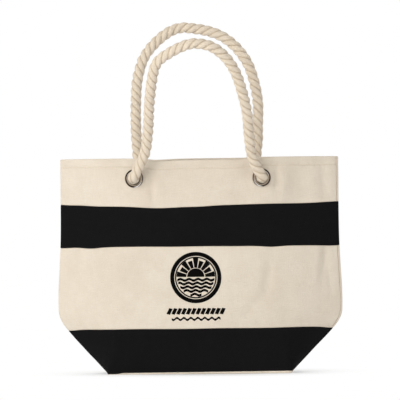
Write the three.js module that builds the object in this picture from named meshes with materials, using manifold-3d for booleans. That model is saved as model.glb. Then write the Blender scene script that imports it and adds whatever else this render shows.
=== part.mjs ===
// A canvas beach tote that stands on its base, mouth open, with two rope handles.
// Millimetres, +Z up. The front faces -Y, "left" is -X, and the origin is the middle of the base.
import * as THREE from "three";
import { mergeVertices } from "three/addons/utils/BufferGeometryUtils.js";
import Module from "manifold-3d";

const wasm = await Module();
wasm.setup();

// ---- driving dimensions -------------------------------------------------------------------

const GAP = 0.3; // clearance between neighbouring pieces
const CLOTH = 1.4; // canvas thickness
const HEM_CLOTH = 2.9; // canvas folded over at the rim
const HEM_DEPTH = 12;

const BODY_HEIGHT = 352.5;
const BASE_HALF_WIDTH = 151.5;
const BASE_HALF_DEPTH = 80;
const RIM_HALF_WIDTH = 228.5;
const RIM_HALF_DEPTH = 46;
const HIP_SWELL = 5; // extra half width just above the folded lower corners
const HIP_HEIGHT = 118;
const HIP_REACH = 70;
const CORNER_SLOPE = 0.922; // how far the lower corners spread for each mm of height
const CORNER_BLEND = 14; // mm of half width over which that slope rounds into the side
const DEPTH_REACH = 75; // height over which the spread base narrows to the body's depth
const LENS_POWER = 2.6; // fullness of the lens-shaped section higher up
const BOX_FADE = 110; // height at which the boxed lower section has become the lens
const CREASE = 0.648; // where the base corner's crease lies, as a share from middle to side seam
const CREASE_SOFTNESS = 0.035;

// Heights of the joins between the sewn bands of canvas.
const BASE_EDGE = 4;
const LOWER_STRIPE_TOP = 75;
const MIDDLE_TOP = 209;
const UPPER_STRIPE_TOP = 274.5;

const LEFT_EYELET_X = -107;
const RIGHT_EYELET_X = 102;
const EYELET_HEIGHT = 320.5;
const EYELET_RADIUS = 15.5;
const EYELET_HOLE_RADIUS = 9.9;
const BARREL_RADIUS = 10.5;
const WASHER_RADIUS = 15;
const WASHER_THICKNESS = 0.85;
const CANVAS_HOLE_RADIUS = BARREL_RADIUS + GAP;

const ROPE_RADIUS = 9;
const PIVOT_STANDOFF = 17; // the rope turns upward this far outside its eyelet
const LEG_START = 11; // the swinging leg starts this far along the rope from the pivot
const FRONT_LEAN = 24; // degrees that each handle leans out from upright
const BACK_LEAN = 12;
const ROPE_END_INNER = 4.7; // the rope end stops this far inside, where its knot begins
const KNOT_FACE = 5; // from the canvas to the knot
const KNOT_RADIUS = 22;
const KNOT_LENGTH = 28;
const TAIL_LENGTH = 66;
const TAIL_OFFSET = 6;
const WHIPPING_LENGTH = 14;
const WHIPPING_THICKNESS = 1.2;

const BINDING_NEAR = 7; // the side seam's binding, measured inwards from the seam
const BINDING_FAR = 19;
const BINDING_HALF_THICKNESS = 1.1;

// Each handle's line, seen from the front: across, and up from its pivots.
const FRONT_ROUTE = [
  [-109.5, 0], [-99, 18], [-88.5, 42.5], [-84.8, 66.5], [-82.6, 90.7], [-81.5, 114.7],
  [-79, 140.7], [-75.3, 166.7], [-70.3, 186.2], [-63.3, 195.2], [-53, 202.2], [-35.7, 212.2],
  [-13, 220.7], [2.6, 220.5], [21.1, 216.2], [39, 203.7], [51.8, 188.7],
  [62.2, 169.7], [69.6, 146.7], [75.7, 123.7], [79.7, 100.7], [81.2, 79.5], [83.3, 56.5],
  [86.5, 36], [94, 17.5], [104.4, 0],
];
const BACK_ROUTE = [
  [-109.5, 0], [-104, 17], [-101.5, 34.5], [-102.2, 50.5], [-103.6, 68.5], [-104.2, 98.7],
  [-103.6, 127.7], [-102, 155.7], [-97, 178.7], [-89.7, 198.7], [-77.5, 215.5],
  [-61.8, 230.7], [-43.5, 242.7], [-25.8, 247.2], [-8.8, 245.5], [13.8, 241.7],
  [36.4, 233.7], [56, 220], [70, 204.7], [82, 185.7], [89.4, 165.2],
  [94.6, 144.2], [97.8, 119.7], [97.5, 96.7], [97, 78.5], [96.8, 59.5], [94, 41],
  [95.5, 19], [104.4, 0],
];

// ---- materials ----------------------------------------------------------------------------

function finish(color, roughness, metalness = 0) {
  return () => new THREE.MeshStandardMaterial({ color, roughness, metalness });
}

const naturalCanvas = finish(0xe3d6c5, 0.92);
const blackCanvas = finish(0x1e1d1e, 0.9);
const bindingTape = finish(0xd6c7b0, 0.88);
const nickel = finish(0xb9bcc0, 0.22, 1);
const cottonRope = finish(0xe1d2bc, 0.95);
const whippingTwine = finish(0xcfbfa4, 0.9);

// ---- the shape of the bag -----------------------------------------------------------------

const bag = new THREE.Group();

function smoothMin(a, b, reach) {
  const h = THREE.MathUtils.clamp(0.5 + (0.5 * (b - a)) / reach, 0, 1);
  return THREE.MathUtils.lerp(b, a, h) - reach * h * (1 - h);
}

// Half the width between the side seams: a straight slope off the base, then a nearly upright side.
function halfWidth(z) {
  const corner = BASE_HALF_WIDTH + CORNER_SLOPE * z;
  const side = RIM_HALF_WIDTH + HIP_SWELL * Math.exp(-(((z - HIP_HEIGHT) / HIP_REACH) ** 2));
  return smoothMin(corner, side, CORNER_BLEND);
}

function halfDepth(z) {
  const spread = Math.exp(-((z / DEPTH_REACH) ** 1.5));
  return RIM_HALF_DEPTH + (BASE_HALF_DEPTH - RIM_HALF_DEPTH) * spread;
}

// A ramp that starts softly: 0 before -w, d after w, and a parabola in between.
function softRamp(d, w) {
  if (d < -w) return 0;
  if (d > w) return d;
  return (d + w) ** 2 / (4 * w);
}

// A point of the outer surface at height z. side is -1 in front and 1 behind, and u runs from -1
// at the left seam to 1 at the right. Low down the section is a box with creased corners, and
// higher up it is a lens.
function wallPoint(side, u, z) {
  const t = Math.abs(u);
  const a = halfWidth(z);
  const b = halfDepth(z);
  const past = softRamp(t - CREASE, CREASE_SOFTNESS);
  const turnX = (a - BASE_HALF_WIDTH) / (1 - CREASE) - BASE_HALF_WIDTH / CREASE;
  const boxX = (BASE_HALF_WIDTH * t) / CREASE + turnX * past;
  const boxY = b - (b / (1 - CREASE)) * past;
  const lensX = a * t;
  const lensY = b * (1 - t ** LENS_POWER);
  const k = THREE.MathUtils.smoothstep(z, 0, BOX_FADE);
  const x = THREE.MathUtils.lerp(boxX, lensX, k);
  const y = THREE.MathUtils.lerp(boxY, lensY, k);
  return new THREE.Vector3(Math.sign(u) * x, side * y, z);
}

// The level outward direction of the wall at that point.
function wallNormal(side, u, z) {
  const step = 0.004;
  const from = wallPoint(side, Math.max(-1, u - step), z);
  const to = wallPoint(side, Math.min(1, u + step), z);
  const along = to.sub(from);
  return new THREE.Vector3(-along.y, along.x, 0).multiplyScalar(side).normalize();
}

// The point `depth` inside the wall. It stays on its own side of the seam.
function insetPoint(side, u, z, depth) {
  const p = wallPoint(side, u, z).addScaledVector(wallNormal(side, u, z), -depth);
  p.y = side * Math.max(side * p.y, GAP / 2);
  return p;
}

// ---- closed solids ------------------------------------------------------------------------

function geometryOf(points, triangles) {
  const geometry = new THREE.BufferGeometry();
  const flat = points.flatMap((p) => [p.x, p.y, p.z]);
  geometry.setAttribute("position", new THREE.Float32BufferAttribute(flat, 3));
  geometry.setIndex(volumeOf(points, triangles) < 0 ? reversed(triangles) : triangles);
  geometry.computeVertexNormals();
  return geometry;
}

function volumeOf(points, triangles) {
  let volume = 0;
  for (let i = 0; i < triangles.length; i += 3) {
    const [a, b, c] = triangles.slice(i, i + 3).map((k) => points[k]);
    volume += a.dot(new THREE.Vector3().crossVectors(b, c));
  }
  return volume;
}

function reversed(triangles) {
  return [...triangles].reverse();
}

function quad(a, b, c, d) {
  return [a, b, c, a, c, d];
}

// A sheet with thickness: two grids of points, joined all round their edge.
function sheetSolid(outer, inner) {
  const rows = outer.length;
  const columns = outer[0].length;
  const points = [...outer.flat(), ...inner.flat()];
  const out = (r, c) => r * columns + c;
  const inn = (r, c) => rows * columns + out(r, c);
  const triangles = [];
  for (let r = 0; r + 1 < rows; r++) {
    for (let c = 0; c + 1 < columns; c++) {
      triangles.push(...quad(out(r, c), out(r, c + 1), out(r + 1, c + 1), out(r + 1, c)));
      triangles.push(...quad(inn(r, c), inn(r + 1, c), inn(r + 1, c + 1), inn(r, c + 1)));
    }
    const last = columns - 1;
    triangles.push(...quad(out(r, 0), out(r + 1, 0), inn(r + 1, 0), inn(r, 0)));
    triangles.push(...quad(out(r, last), inn(r, last), inn(r + 1, last), out(r + 1, last)));
  }
  for (let c = 0; c + 1 < columns; c++) {
    const top = rows - 1;
    triangles.push(...quad(out(0, c), inn(0, c), inn(0, c + 1), out(0, c + 1)));
    triangles.push(...quad(out(top, c), out(top, c + 1), inn(top, c + 1), inn(top, c)));
  }
  return geometryOf(points, triangles);
}

// A skin through closed rings of equal count, with a fan closing each end.
function loftSolid(rings) {
  const count = rings[0].length;
  const points = rings.flat();
  const triangles = [];
  for (let r = 0; r + 1 < rings.length; r++) {
    for (let i = 0; i < count; i++) {
      const j = (i + 1) % count;
      const low = r * count;
      triangles.push(...quad(low + i, low + j, low + count + j, low + count + i));
    }
  }
  for (const [r, turned] of [[0, true], [rings.length - 1, false]]) {
    const middle = rings[r].reduce((sum, p) => sum.add(p), new THREE.Vector3());
    const hub = points.push(middle.divideScalar(count)) - 1;
    for (let i = 0; i < count; i++) {
      const j = (i + 1) % count;
      const pair = turned ? [r * count + j, r * count + i] : [r * count + i, r * count + j];
      triangles.push(hub, ...pair);
    }
  }
  return geometryOf(points, triangles);
}

function lathe(profile, segments) {
  const points = profile.map(([radius, along]) => new THREE.Vector2(radius, along));
  return new THREE.LatheGeometry(points, segments);
}

function toManifold(geometry) {
  const bare = geometry.clone();
  bare.deleteAttribute("normal");
  bare.deleteAttribute("uv");
  const merged = mergeVertices(bare, 1e-4);
  const vertProperties = new Float32Array(merged.attributes.position.array);
  const triVerts = new Uint32Array(merged.index.array);
  return new wasm.Manifold(new wasm.Mesh({ numProp: 3, vertProperties, triVerts }));
}

function fromManifold(solid) {
  const mesh = solid.getMesh();
  const geometry = new THREE.BufferGeometry();
  geometry.setAttribute("position", new THREE.BufferAttribute(mesh.vertProperties, 3));
  geometry.setIndex(new THREE.BufferAttribute(mesh.triVerts, 1));
  geometry.computeVertexNormals();
  return geometry;
}

function addPiece(name, geometry, material) {
  const piece = new THREE.Mesh(geometry, material());
  piece.name = name;
  bag.add(piece);
  return piece;
}

// ---- sewn canvas --------------------------------------------------------------------------

// Columns lie closer together at the crease, where the wall turns.
const HALF_COLUMNS = [0, 0.15, 0.3, 0.42, 0.53, CREASE - CREASE_SOFTNESS, CREASE,
  CREASE + CREASE_SOFTNESS, 0.77, 0.88, 1];
const COLUMNS = [...HALF_COLUMNS.slice(1).reverse().map((u) => -u), ...HALF_COLUMNS];

function evenSteps(from, to, count) {
  return Array.from({ length: count + 1 }, (_, i) => from + ((to - from) * i) / count);
}

function bandGeometry(side, heights, thicknessAt = () => CLOTH) {
  const outer = heights.map((z) => COLUMNS.map((u) => insetPoint(side, u, z, 0)));
  const inner = heights.map((z) => COLUMNS.map((u) => insetPoint(side, u, z, thicknessAt(z))));
  return sheetSolid(outer, inner);
}

// The eyelet's centre on the wall, and the direction its hole faces.
function eyeletPlace(side, hand) {
  const u = (hand < 0 ? LEFT_EYELET_X : RIGHT_EYELET_X) / halfWidth(EYELET_HEIGHT);
  const centre = wallPoint(side, u, EYELET_HEIGHT);
  return { centre, outward: wallNormal(side, u, EYELET_HEIGHT) };
}

function stand(piece, { centre, outward }) {
  piece.position.copy(centre);
  piece.quaternion.setFromUnitVectors(new THREE.Vector3(0, 1, 0), outward);
  return piece;
}

// What an eyelet takes out of the canvas: its hole, and the room for its flange and washer,
// which pinch the cloth flat.
function eyeletCutter(place) {
  const reach = 12;
  const profile = [
    [0, -reach],
    [WASHER_RADIUS + GAP, -reach],
    [WASHER_RADIUS + GAP, -CLOTH],
    [CANVAS_HOLE_RADIUS, -CLOTH],
    [CANVAS_HOLE_RADIUS, 0],
    [EYELET_RADIUS + GAP, 0],
    [EYELET_RADIUS + GAP, reach],
    [0, reach],
  ];
  const cutter = stand(new THREE.Mesh(lathe(profile, 24)), place);
  cutter.updateMatrixWorld(true);
  return toManifold(cutter.geometry.applyMatrix4(cutter.matrixWorld));
}

function topPanel(side) {
  const hemStart = BODY_HEIGHT - HEM_DEPTH;
  const heights = [...evenSteps(UPPER_STRIPE_TOP, hemStart - 0.5, 3), hemStart + 0.5, BODY_HEIGHT];
  const thickness = (z) => (z > hemStart ? HEM_CLOTH : CLOTH);
  let solid = toManifold(bandGeometry(side, heights, thickness));
  for (const hand of [-1, 1]) solid = solid.subtract(eyeletCutter(eyeletPlace(side, hand)));
  return fromManifold(solid);
}

function canvasWalls() {
  for (const [side, face] of [[-1, "front"], [1, "back"]]) {
    addPiece(`${face}_top_panel`, topPanel(side), naturalCanvas);
    const upper = evenSteps(MIDDLE_TOP, UPPER_STRIPE_TOP - GAP, 3);
    addPiece(`${face}_upper_stripe`, bandGeometry(side, upper), blackCanvas);
    const middle = evenSteps(LOWER_STRIPE_TOP, MIDDLE_TOP - GAP, 7);
    addPiece(`${face}_middle_panel`, bandGeometry(side, middle), naturalCanvas);
    const lower = evenSteps(BASE_EDGE, LOWER_STRIPE_TOP - GAP, 6);
    addPiece(`${face}_lower_stripe`, bandGeometry(side, lower), blackCanvas);
  }
}

// The base is a shallow tray of canvas: flat underneath, its edge turned up to meet the walls.
function basePanel() {
  const loop = (z, inset) => {
    const front = COLUMNS.slice(1).map((u) => wallPoint(-1, u, z));
    const back = COLUMNS.slice(1).reverse().map((u) => wallPoint(1, u, z));
    back.push(back.shift());
    const outline = [...front, ...back.slice(0, -1), wallPoint(-1, -1, z)];
    return outline.map((p) => {
      p.x -= inset * THREE.MathUtils.clamp(p.x / (0.9 * BASE_HALF_WIDTH), -1, 1);
      p.y -= inset * THREE.MathUtils.clamp(p.y / (0.5 * BASE_HALF_DEPTH), -1, 1);
      return p;
    });
  };
  const edge = BASE_EDGE - GAP;
  const rings = [
    loop(0, 2.4),
    loop(1, 0.7),
    loop(edge, 0),
    loop(edge, CLOTH),
    loop(CLOTH, CLOTH + 1.4),
  ];
  addPiece("base_panel", loftSolid(rings), naturalCanvas);
}

// Tape folded over the raw edges of each side seam, inside the bag.
function seamBindings() {
  const heights = [8, ...evenSteps(20, 110, 5), ...evenSteps(150, BODY_HEIGHT - HEM_DEPTH - 2, 4)];
  for (const [hand, name] of [[-1, "left"], [1, "right"]]) {
    const rings = heights.map((z) => {
      const near = hand * (halfWidth(z) - BINDING_NEAR);
      const far = hand * (halfWidth(z) - BINDING_FAR);
      const half = BINDING_HALF_THICKNESS;
      const corners = [[near, -half], [near, half], [far, half], [far, -half]];
      return corners.map(([x, y]) => new THREE.Vector3(x, y, z));
    });
    addPiece(`${name}_seam_binding`, loftSolid(rings), bindingTape);
  }
}

// ---- eyelets ------------------------------------------------------------------------------

// The face half of an eyelet: a domed flange, a barrel through the canvas, and the barrel's far
// end rolled outwards over the washer.
function eyeletRing() {
  const washerBack = -CLOTH - GAP - WASHER_THICKNESS;
  const roll = washerBack - GAP;
  const profile = [
    [EYELET_HOLE_RADIUS, roll - 0.4],
    [BARREL_RADIUS + 0.5, roll - 0.9],
    [BARREL_RADIUS + 1.7, roll - 0.6],
    [BARREL_RADIUS + 1.9, roll],
    [BARREL_RADIUS, roll],
    [BARREL_RADIUS, GAP],
    [EYELET_RADIUS, GAP],
    [EYELET_RADIUS - 0.5, 1.1],
    [EYELET_RADIUS - 2.2, 2],
    [EYELET_HOLE_RADIUS + 2.2, 2.4],
    [EYELET_HOLE_RADIUS + 0.7, 1.9],
    [EYELET_HOLE_RADIUS, 0.9],
    [EYELET_HOLE_RADIUS, roll - 0.4],
  ];
  return lathe(profile, 24);
}

function eyeletWasher() {
  const face = -CLOTH - GAP;
  const back = face - WASHER_THICKNESS;
  const profile = [
    [CANVAS_HOLE_RADIUS, back],
    [WASHER_RADIUS, back],
    [WASHER_RADIUS, face],
    [CANVAS_HOLE_RADIUS, face],
    [CANVAS_HOLE_RADIUS, back],
  ];
  return lathe(profile, 24);
}

// ---- rope ---------------------------------------------------------------------------------

// The still part of the rope: out through the eyelet to the ball that the handle swings about.
function ropeEnd() {
  const inner = -ROPE_END_INNER;
  const cap = evenSteps(0, Math.PI / 2, 4).map((angle) => [
    ROPE_RADIUS * Math.cos(angle),
    PIVOT_STANDOFF + ROPE_RADIUS * Math.sin(angle),
  ]);
  cap.at(-1)[0] = 0;
  return lathe([[0, inner], [ROPE_RADIUS, inner], ...cap], 12);
}

// A stopper knot inside the bag, with the rope's tail hanging from it.
function knotWithTail(place) {
  const face = -KNOT_FACE;
  const back = face - KNOT_LENGTH;
  const profile = [
    [0, back],
    [0.55 * KNOT_RADIUS, back],
    [0.9 * KNOT_RADIUS, back + 4],
    [KNOT_RADIUS, back + 11],
    [KNOT_RADIUS, face - 10],
    [0.85 * KNOT_RADIUS, face - 3],
    [ROPE_RADIUS + 2, face],
    [0, face],
  ];
  const knot = stand(new THREE.Mesh(lathe(profile, 16)), place);
  knot.updateMatrixWorld(true);
  const knotSolid = toManifold(knot.geometry.applyMatrix4(knot.matrixWorld));
  const tail = new THREE.CylinderGeometry(ROPE_RADIUS, ROPE_RADIUS, TAIL_LENGTH, 12);
  const middle = tailTop(place).add(new THREE.Vector3(0, 0, -TAIL_LENGTH / 2));
  tail.rotateX(Math.PI / 2).translate(middle.x, middle.y, middle.z);
  return fromManifold(knotSolid.add(toManifold(tail)));
}

// The tail leaves the knot's middle a little towards the side seam.
function tailTop({ centre, outward }) {
  const middle = centre.clone().addScaledVector(outward, -(KNOT_FACE + KNOT_LENGTH / 2));
  middle.x += Math.sign(centre.x) * TAIL_OFFSET;
  return middle;
}

// Twine wound round the tail's end so that the strands stay laid.
function whipping(place) {
  const inner = ROPE_RADIUS + GAP;
  const outer = inner + WHIPPING_THICKNESS;
  const half = WHIPPING_LENGTH / 2;
  const corners = [[inner, -half], [outer, -half], [outer, half], [inner, half], [inner, -half]];
  const endClearance = 3;
  const drop = TAIL_LENGTH - endClearance - half;
  const middle = tailTop(place).add(new THREE.Vector3(0, 0, -drop));
  return lathe(corners, 16).rotateX(Math.PI / 2).translate(middle.x, middle.y, middle.z);
}

// The swinging part of a handle: a round tube along its route, in a plane that leans outwards
// about the line through the two pivots.
function handleRope(side, route, leanDegrees) {
  const lean = THREE.MathUtils.degToRad(leanDegrees);
  const ends = [-1, 1].map((hand) => eyeletPlace(side, hand));
  const pivotY = ends.reduce((sum, { centre, outward }) => (
    sum + (centre.y + outward.y * PIVOT_STANDOFF) / 2
  ), 0);
  const line = new THREE.CatmullRomCurve3(
    route.map(([x, up]) => {
      const y = pivotY + side * up * Math.tan(lean);
      return new THREE.Vector3(x, y, EYELET_HEIGHT + up);
    }),
  );
  const length = line.getLength();
  const cut = LEG_START / length;
  const stops = evenSteps(cut, 1 - cut, 28).map((u) => line.getPointAt(u));
  const section = new THREE.Shape();
  section.absarc(0, 0, ROPE_RADIUS, 0, 2 * Math.PI);
  return new THREE.ExtrudeGeometry(section, {
    steps: 28,
    curveSegments: 5,
    extrudePath: new THREE.CatmullRomCurve3(stops),
  });
}

function eyeletsAndRopes() {
  for (const [side, face] of [[-1, "front"], [1, "back"]]) {
    for (const [hand, end] of [[-1, "left"], [1, "right"]]) {
      const place = eyeletPlace(side, hand);
      stand(addPiece(`${face}_${end}_eyelet`, eyeletRing(), nickel), place);
      stand(addPiece(`${face}_${end}_washer`, eyeletWasher(), nickel), place);
      stand(addPiece(`${face}_${end}_rope_end`, ropeEnd(), cottonRope), place);
      addPiece(`${face}_${end}_knot`, knotWithTail(place), cottonRope);
      addPiece(`${face}_${end}_whipping`, whipping(place), whippingTwine);
    }
  }
  addPiece("front_handle_rope", handleRope(-1, FRONT_ROUTE, FRONT_LEAN), cottonRope);
  addPiece("back_handle_rope", handleRope(1, BACK_ROUTE, BACK_LEAN), cottonRope);
}

canvasWalls();
basePanel();
seamBindings();
eyeletsAndRopes();

export default bag;
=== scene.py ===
# %% [markdown]
# # A canvas beach tote with two rope handles
# The real bag is eight bands of heavy cotton canvas sewn into a tall tote, a boxed base, four
# metal eyelets and two cotton ropes knotted on the inside. This lesson builds each of those
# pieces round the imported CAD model, which stays as the fixed frame that everything rides on.

# %% Load the frame
import math

import bpy
import numpy as np
from mathutils import Matrix, Vector


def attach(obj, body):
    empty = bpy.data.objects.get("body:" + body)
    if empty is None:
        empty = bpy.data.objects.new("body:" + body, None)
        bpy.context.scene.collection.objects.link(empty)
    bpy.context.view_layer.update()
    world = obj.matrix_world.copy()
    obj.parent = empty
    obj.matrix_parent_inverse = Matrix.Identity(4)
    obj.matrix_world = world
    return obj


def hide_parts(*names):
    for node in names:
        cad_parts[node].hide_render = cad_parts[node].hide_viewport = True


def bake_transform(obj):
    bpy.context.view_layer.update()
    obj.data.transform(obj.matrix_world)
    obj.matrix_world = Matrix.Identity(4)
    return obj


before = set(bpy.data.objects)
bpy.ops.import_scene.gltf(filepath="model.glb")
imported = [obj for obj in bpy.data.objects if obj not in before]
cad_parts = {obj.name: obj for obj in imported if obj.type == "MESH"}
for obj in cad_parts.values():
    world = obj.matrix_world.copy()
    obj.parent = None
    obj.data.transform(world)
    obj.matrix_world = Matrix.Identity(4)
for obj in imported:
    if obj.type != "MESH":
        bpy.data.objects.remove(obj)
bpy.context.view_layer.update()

# %% [markdown]
# ## The camera
# A bag is best shown from far away through a long lens, so that its upright sides stay
# upright. The lens is worked out from the width of the view at the bag's distance.

# %% Camera
CAMERA_DISTANCE = 20.0
VIEW_WIDTH = 0.6578
LOOK_AT = Vector((0.0007, 0.0, 0.2839))
CAMERA_ELEVATION = math.radians(0.8)
CAMERA_ROLL = math.radians(0.5)
SENSOR_WIDTH = 36.0

camera_data = bpy.data.cameras.new("camera")
camera_data.sensor_width = SENSOR_WIDTH
camera_data.lens = SENSOR_WIDTH * CAMERA_DISTANCE / VIEW_WIDTH
camera_data.clip_end = 60
camera = bpy.data.objects.new("camera", camera_data)
bpy.context.scene.collection.objects.link(camera)
backwards = Vector((0, -math.cos(CAMERA_ELEVATION), math.sin(CAMERA_ELEVATION)))
level_turn = (-backwards).to_track_quat("-Z", "Y").to_matrix().to_4x4()
camera.matrix_world = (
    Matrix.Translation(LOOK_AT + backwards * CAMERA_DISTANCE)
    @ Matrix.Rotation(-CAMERA_ROLL, 4, backwards)
    @ level_turn
)
bpy.context.scene.camera = camera
print("lens", round(camera_data.lens), "mm")

# %% [markdown]
# ## The studio
# Cloth needs soft light to show its weave and folds: a large lamp from the upper left, weaker
# ones beside and behind, a pale sky all round, and a pale floor. Metal only looks like metal
# when it has something dark to reflect, so rays that come off a glossy surface see a sky with
# a dark screen on either side, and pale below.

# %% Studio
scene = bpy.context.scene
scene.view_settings.view_transform = "Standard"

world = bpy.data.worlds.new("studio")
scene.world = world
world.use_nodes = True


def add_node(tree, kind, inputs=None, **settings):
    """A new node in tree, with its settings made and its inputs set or linked."""
    made = tree.nodes.new(kind)
    for name, value in settings.items():
        setattr(made, name, value)
    for key, value in (inputs or {}).items():
        if isinstance(value, bpy.types.NodeSocket):
            tree.links.new(value, made.inputs[key])
        else:
            made.inputs[key].default_value = value
    return made


def ramp_node(tree, factor, stops):
    """A colour ramp whose stops are (place, grey or colour)."""
    made = add_node(tree, "ShaderNodeValToRGB", {"Fac": factor})
    ramp = made.color_ramp
    while len(ramp.elements) < len(stops):
        ramp.elements.new(0.5)
    for element, (place, colour) in zip(ramp.elements, stops):
        element.position = place
        grey = isinstance(colour, (int, float))
        element.color = (colour, colour, colour, 1) if grey else (*colour, 1)
    return made


sky = world.node_tree
sky.nodes.clear()
direction = add_node(sky, "ShaderNodeTexCoord").outputs["Generated"]
axes = add_node(sky, "ShaderNodeSeparateXYZ", {"Vector": direction}).outputs
height_share = add_node(sky, "ShaderNodeMapRange", {"Value": axes["Z"], "From Min": -1.0}).outputs[0]
soft_sky = ramp_node(sky, height_share, [(0.0, 0.40), (0.5, 0.46), (0.62, 0.54), (1.0, 0.58)])
sideways = add_node(sky, "ShaderNodeMath", {0: axes["X"]}, operation="ABSOLUTE").outputs[0]
dark_brown = (0.042, 0.024, 0.016)
warm_grey = (0.42, 0.36, 0.30)
screens = ramp_node(
    sky, sideways, [(0.0, 1.0), (0.18, 0.9), (0.30, dark_brown), (0.97, dark_brown), (1.0, 0.15)]
)
pale_below = ramp_node(sky, height_share, [(0.0, 1.0), (0.40, 1.0), (0.50, warm_grey), (1.0, 0.3)])
reflected = add_node(
    sky, "ShaderNodeVectorMath", {0: screens.outputs[0], 1: pale_below.outputs[0]}, operation="MULTIPLY"
)
rays = add_node(sky, "ShaderNodeLightPath").outputs
glossy_sky = add_node(
    sky, "ShaderNodeMix",
    {0: rays["Is Glossy Ray"], 6: soft_sky.outputs[0], 7: reflected.outputs[0]},
    data_type="RGBA",
).outputs[2]
lit = add_node(sky, "ShaderNodeBackground", {"Color": glossy_sky})
seen = add_node(sky, "ShaderNodeBackground", {"Color": (1, 1, 1, 1)})
either = add_node(
    sky, "ShaderNodeMixShader", {0: rays["Is Camera Ray"], 1: lit.outputs[0], 2: seen.outputs[0]}
)
add_node(sky, "ShaderNodeOutputWorld", {"Surface": either.outputs[0]})


BAG_MIDDLE = Vector((0, 0, 0.25))
WARM_WHITE = (1.0, 0.99, 0.97)
COOL_WHITE = (0.97, 0.98, 1.0)


def area_light(name, place, size, power, colour=WARM_WHITE):
    """A square soft lamp that faces the bag. The metal shows the sky instead of it."""
    data = bpy.data.lights.new(name, "AREA")
    data.size = size
    data.energy = power
    data.color = colour
    lamp = bpy.data.objects.new(name, data)
    aim = (BAG_MIDDLE - Vector(place)).to_track_quat("-Z", "Y").to_matrix().to_4x4()
    lamp.matrix_world = Matrix.Translation(place) @ aim
    lamp.visible_glossy = False
    scene.collection.objects.link(lamp)


area_light("key_light", (-1.5, -3.3, 1.7), size=1.9, power=80)
area_light("side_light", (-3.2, -1.5, 0.9), size=2.4, power=27)
area_light("fill_light", (2.6, -2.8, 1.0), size=2.2, power=10, colour=COOL_WHITE)
area_light("back_light", (0.6, 3.0, 2.4), size=1.8, power=55)

# %% [markdown]
# ## The shape of the sewn body
# Everything below works in millimetres, as a pattern cutter would, and turns into metres only
# when a mesh is made. The wall is one surface with two parameters: s runs once round the bag,
# -1 at the left seam, 0 mid-front, 1 at the right seam and 2 mid-back, and z is the height.
# Low down its section is a box with creased corners, and higher up it is a lens.

# %% Wall surface
BASE_HALF_WIDTH = 151.5
BASE_HALF_DEPTH = 80.0
RIM_HALF_WIDTH = 228.5
RIM_HALF_DEPTH = 46.0
CORNER_SLOPE = 0.922  # how far the lower corners spread for each mm of height
CORNER_BLEND = 14.0  # mm of half width over which that slope rounds into the side
HIP_SWELL = 5.0  # extra half width just above the folded lower corners
HIP_HEIGHT = 118.0
HIP_REACH = 70.0
DEPTH_REACH = 75.0  # height over which the spread base narrows to the body's depth
BOX_FADE = 110.0  # height at which the boxed lower section has become the lens
LENS_POWER = 2.6
CREASE = 0.648  # where the corner's crease lies, as a share from the middle to the side seam
CREASE_SOFTNESS = 0.035
EDGE_ROUNDING = 4.2
EDGE_REACH = 6.0
FOOT_SHIFT = -1.8  # the base stands this far to the left of the rim
FOOT_SHIFT_TOP = 100.0


def ease(t):
    """Smooth step: 0 below 0, 1 above 1, and 3t^2 - 2t^3 between."""
    t = np.clip(t, 0, 1)
    return t * t * (3 - 2 * t)


def bump(x, middle, width):
    """A bell: e to the minus ((x - middle) / width) squared."""
    return np.exp(-(((x - middle) / width) ** 2))


def half_width(z):
    """Half the width: the smaller of the corner's straight slope and the nearly upright side,
    less CORNER_BLEND h (1 - h) where one melts into the other."""
    corner = BASE_HALF_WIDTH + CORNER_SLOPE * z
    side = RIM_HALF_WIDTH + HIP_SWELL * bump(z, HIP_HEIGHT, HIP_REACH)
    h = np.clip(0.5 + 0.5 * (side - corner) / CORNER_BLEND, 0, 1)
    return side + (corner - side) * h - CORNER_BLEND * h * (1 - h)


def half_depth(z):
    """Half the depth: from the base's depth down to the rim's, e to the minus (z / 75)^1.5."""
    return RIM_HALF_DEPTH + (BASE_HALF_DEPTH - RIM_HALF_DEPTH) * np.exp(-((z / DEPTH_REACH) ** 1.5))


def wall(s, z):
    """Level place of the wall. u = |sin(pi s / 2)| is the share of the half width. The box has
    x = W u / c and y = b up to the crease c, then straight to the seam; the lens has x = a u and
    y = b (1 - u^2.6). The two mix with height, and y becomes sqrt(y^2 + k y e^(-y/6)), which
    rounds the sharp side edge."""
    s, z = np.broadcast_arrays(np.asarray(s, float), np.asarray(z, float))
    turn = np.sin(np.pi * s / 2)
    u = np.abs(turn)
    a, b = half_width(z), half_depth(np.maximum(z, 0))
    d = u - CREASE
    w = CREASE_SOFTNESS
    past = np.where(d < -w, 0, np.where(d > w, d, (d + w) ** 2 / (4 * w)))
    turned = (a - BASE_HALF_WIDTH) / (1 - CREASE) - BASE_HALF_WIDTH / CREASE
    box_x = BASE_HALF_WIDTH * u / CREASE + turned * past
    box_y = b - b / (1 - CREASE) * past
    k = ease(z / BOX_FADE)
    x = box_x + (a * u - box_x) * k
    y = np.maximum(box_y + (b * (1 - u**LENS_POWER) - box_y) * k, 0)
    y = np.sqrt(y * y + EDGE_ROUNDING * y * np.exp(-y / EDGE_REACH))
    x = np.sign(turn) * x + FOOT_SHIFT * ease(1 - z / FOOT_SHIFT_TOP)
    return x, -np.sign(np.cos(np.pi * s / 2)) * y


SLOPE_STEP = 0.002


def level_out(s, z):
    """The wall's level outward direction: its small step along s, turned a quarter turn."""
    (x1, y1), (x0, y0) = wall(s + SLOPE_STEP, z), wall(s - SLOPE_STEP, z)
    reach = np.hypot(x1 - x0, y1 - y0)
    return np.stack([(y1 - y0) / reach, (x0 - x1) / reach, np.zeros_like(reach)], -1)


print("half width at the hip", round(float(half_width(HIP_HEIGHT)), 1), "mm")

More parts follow.
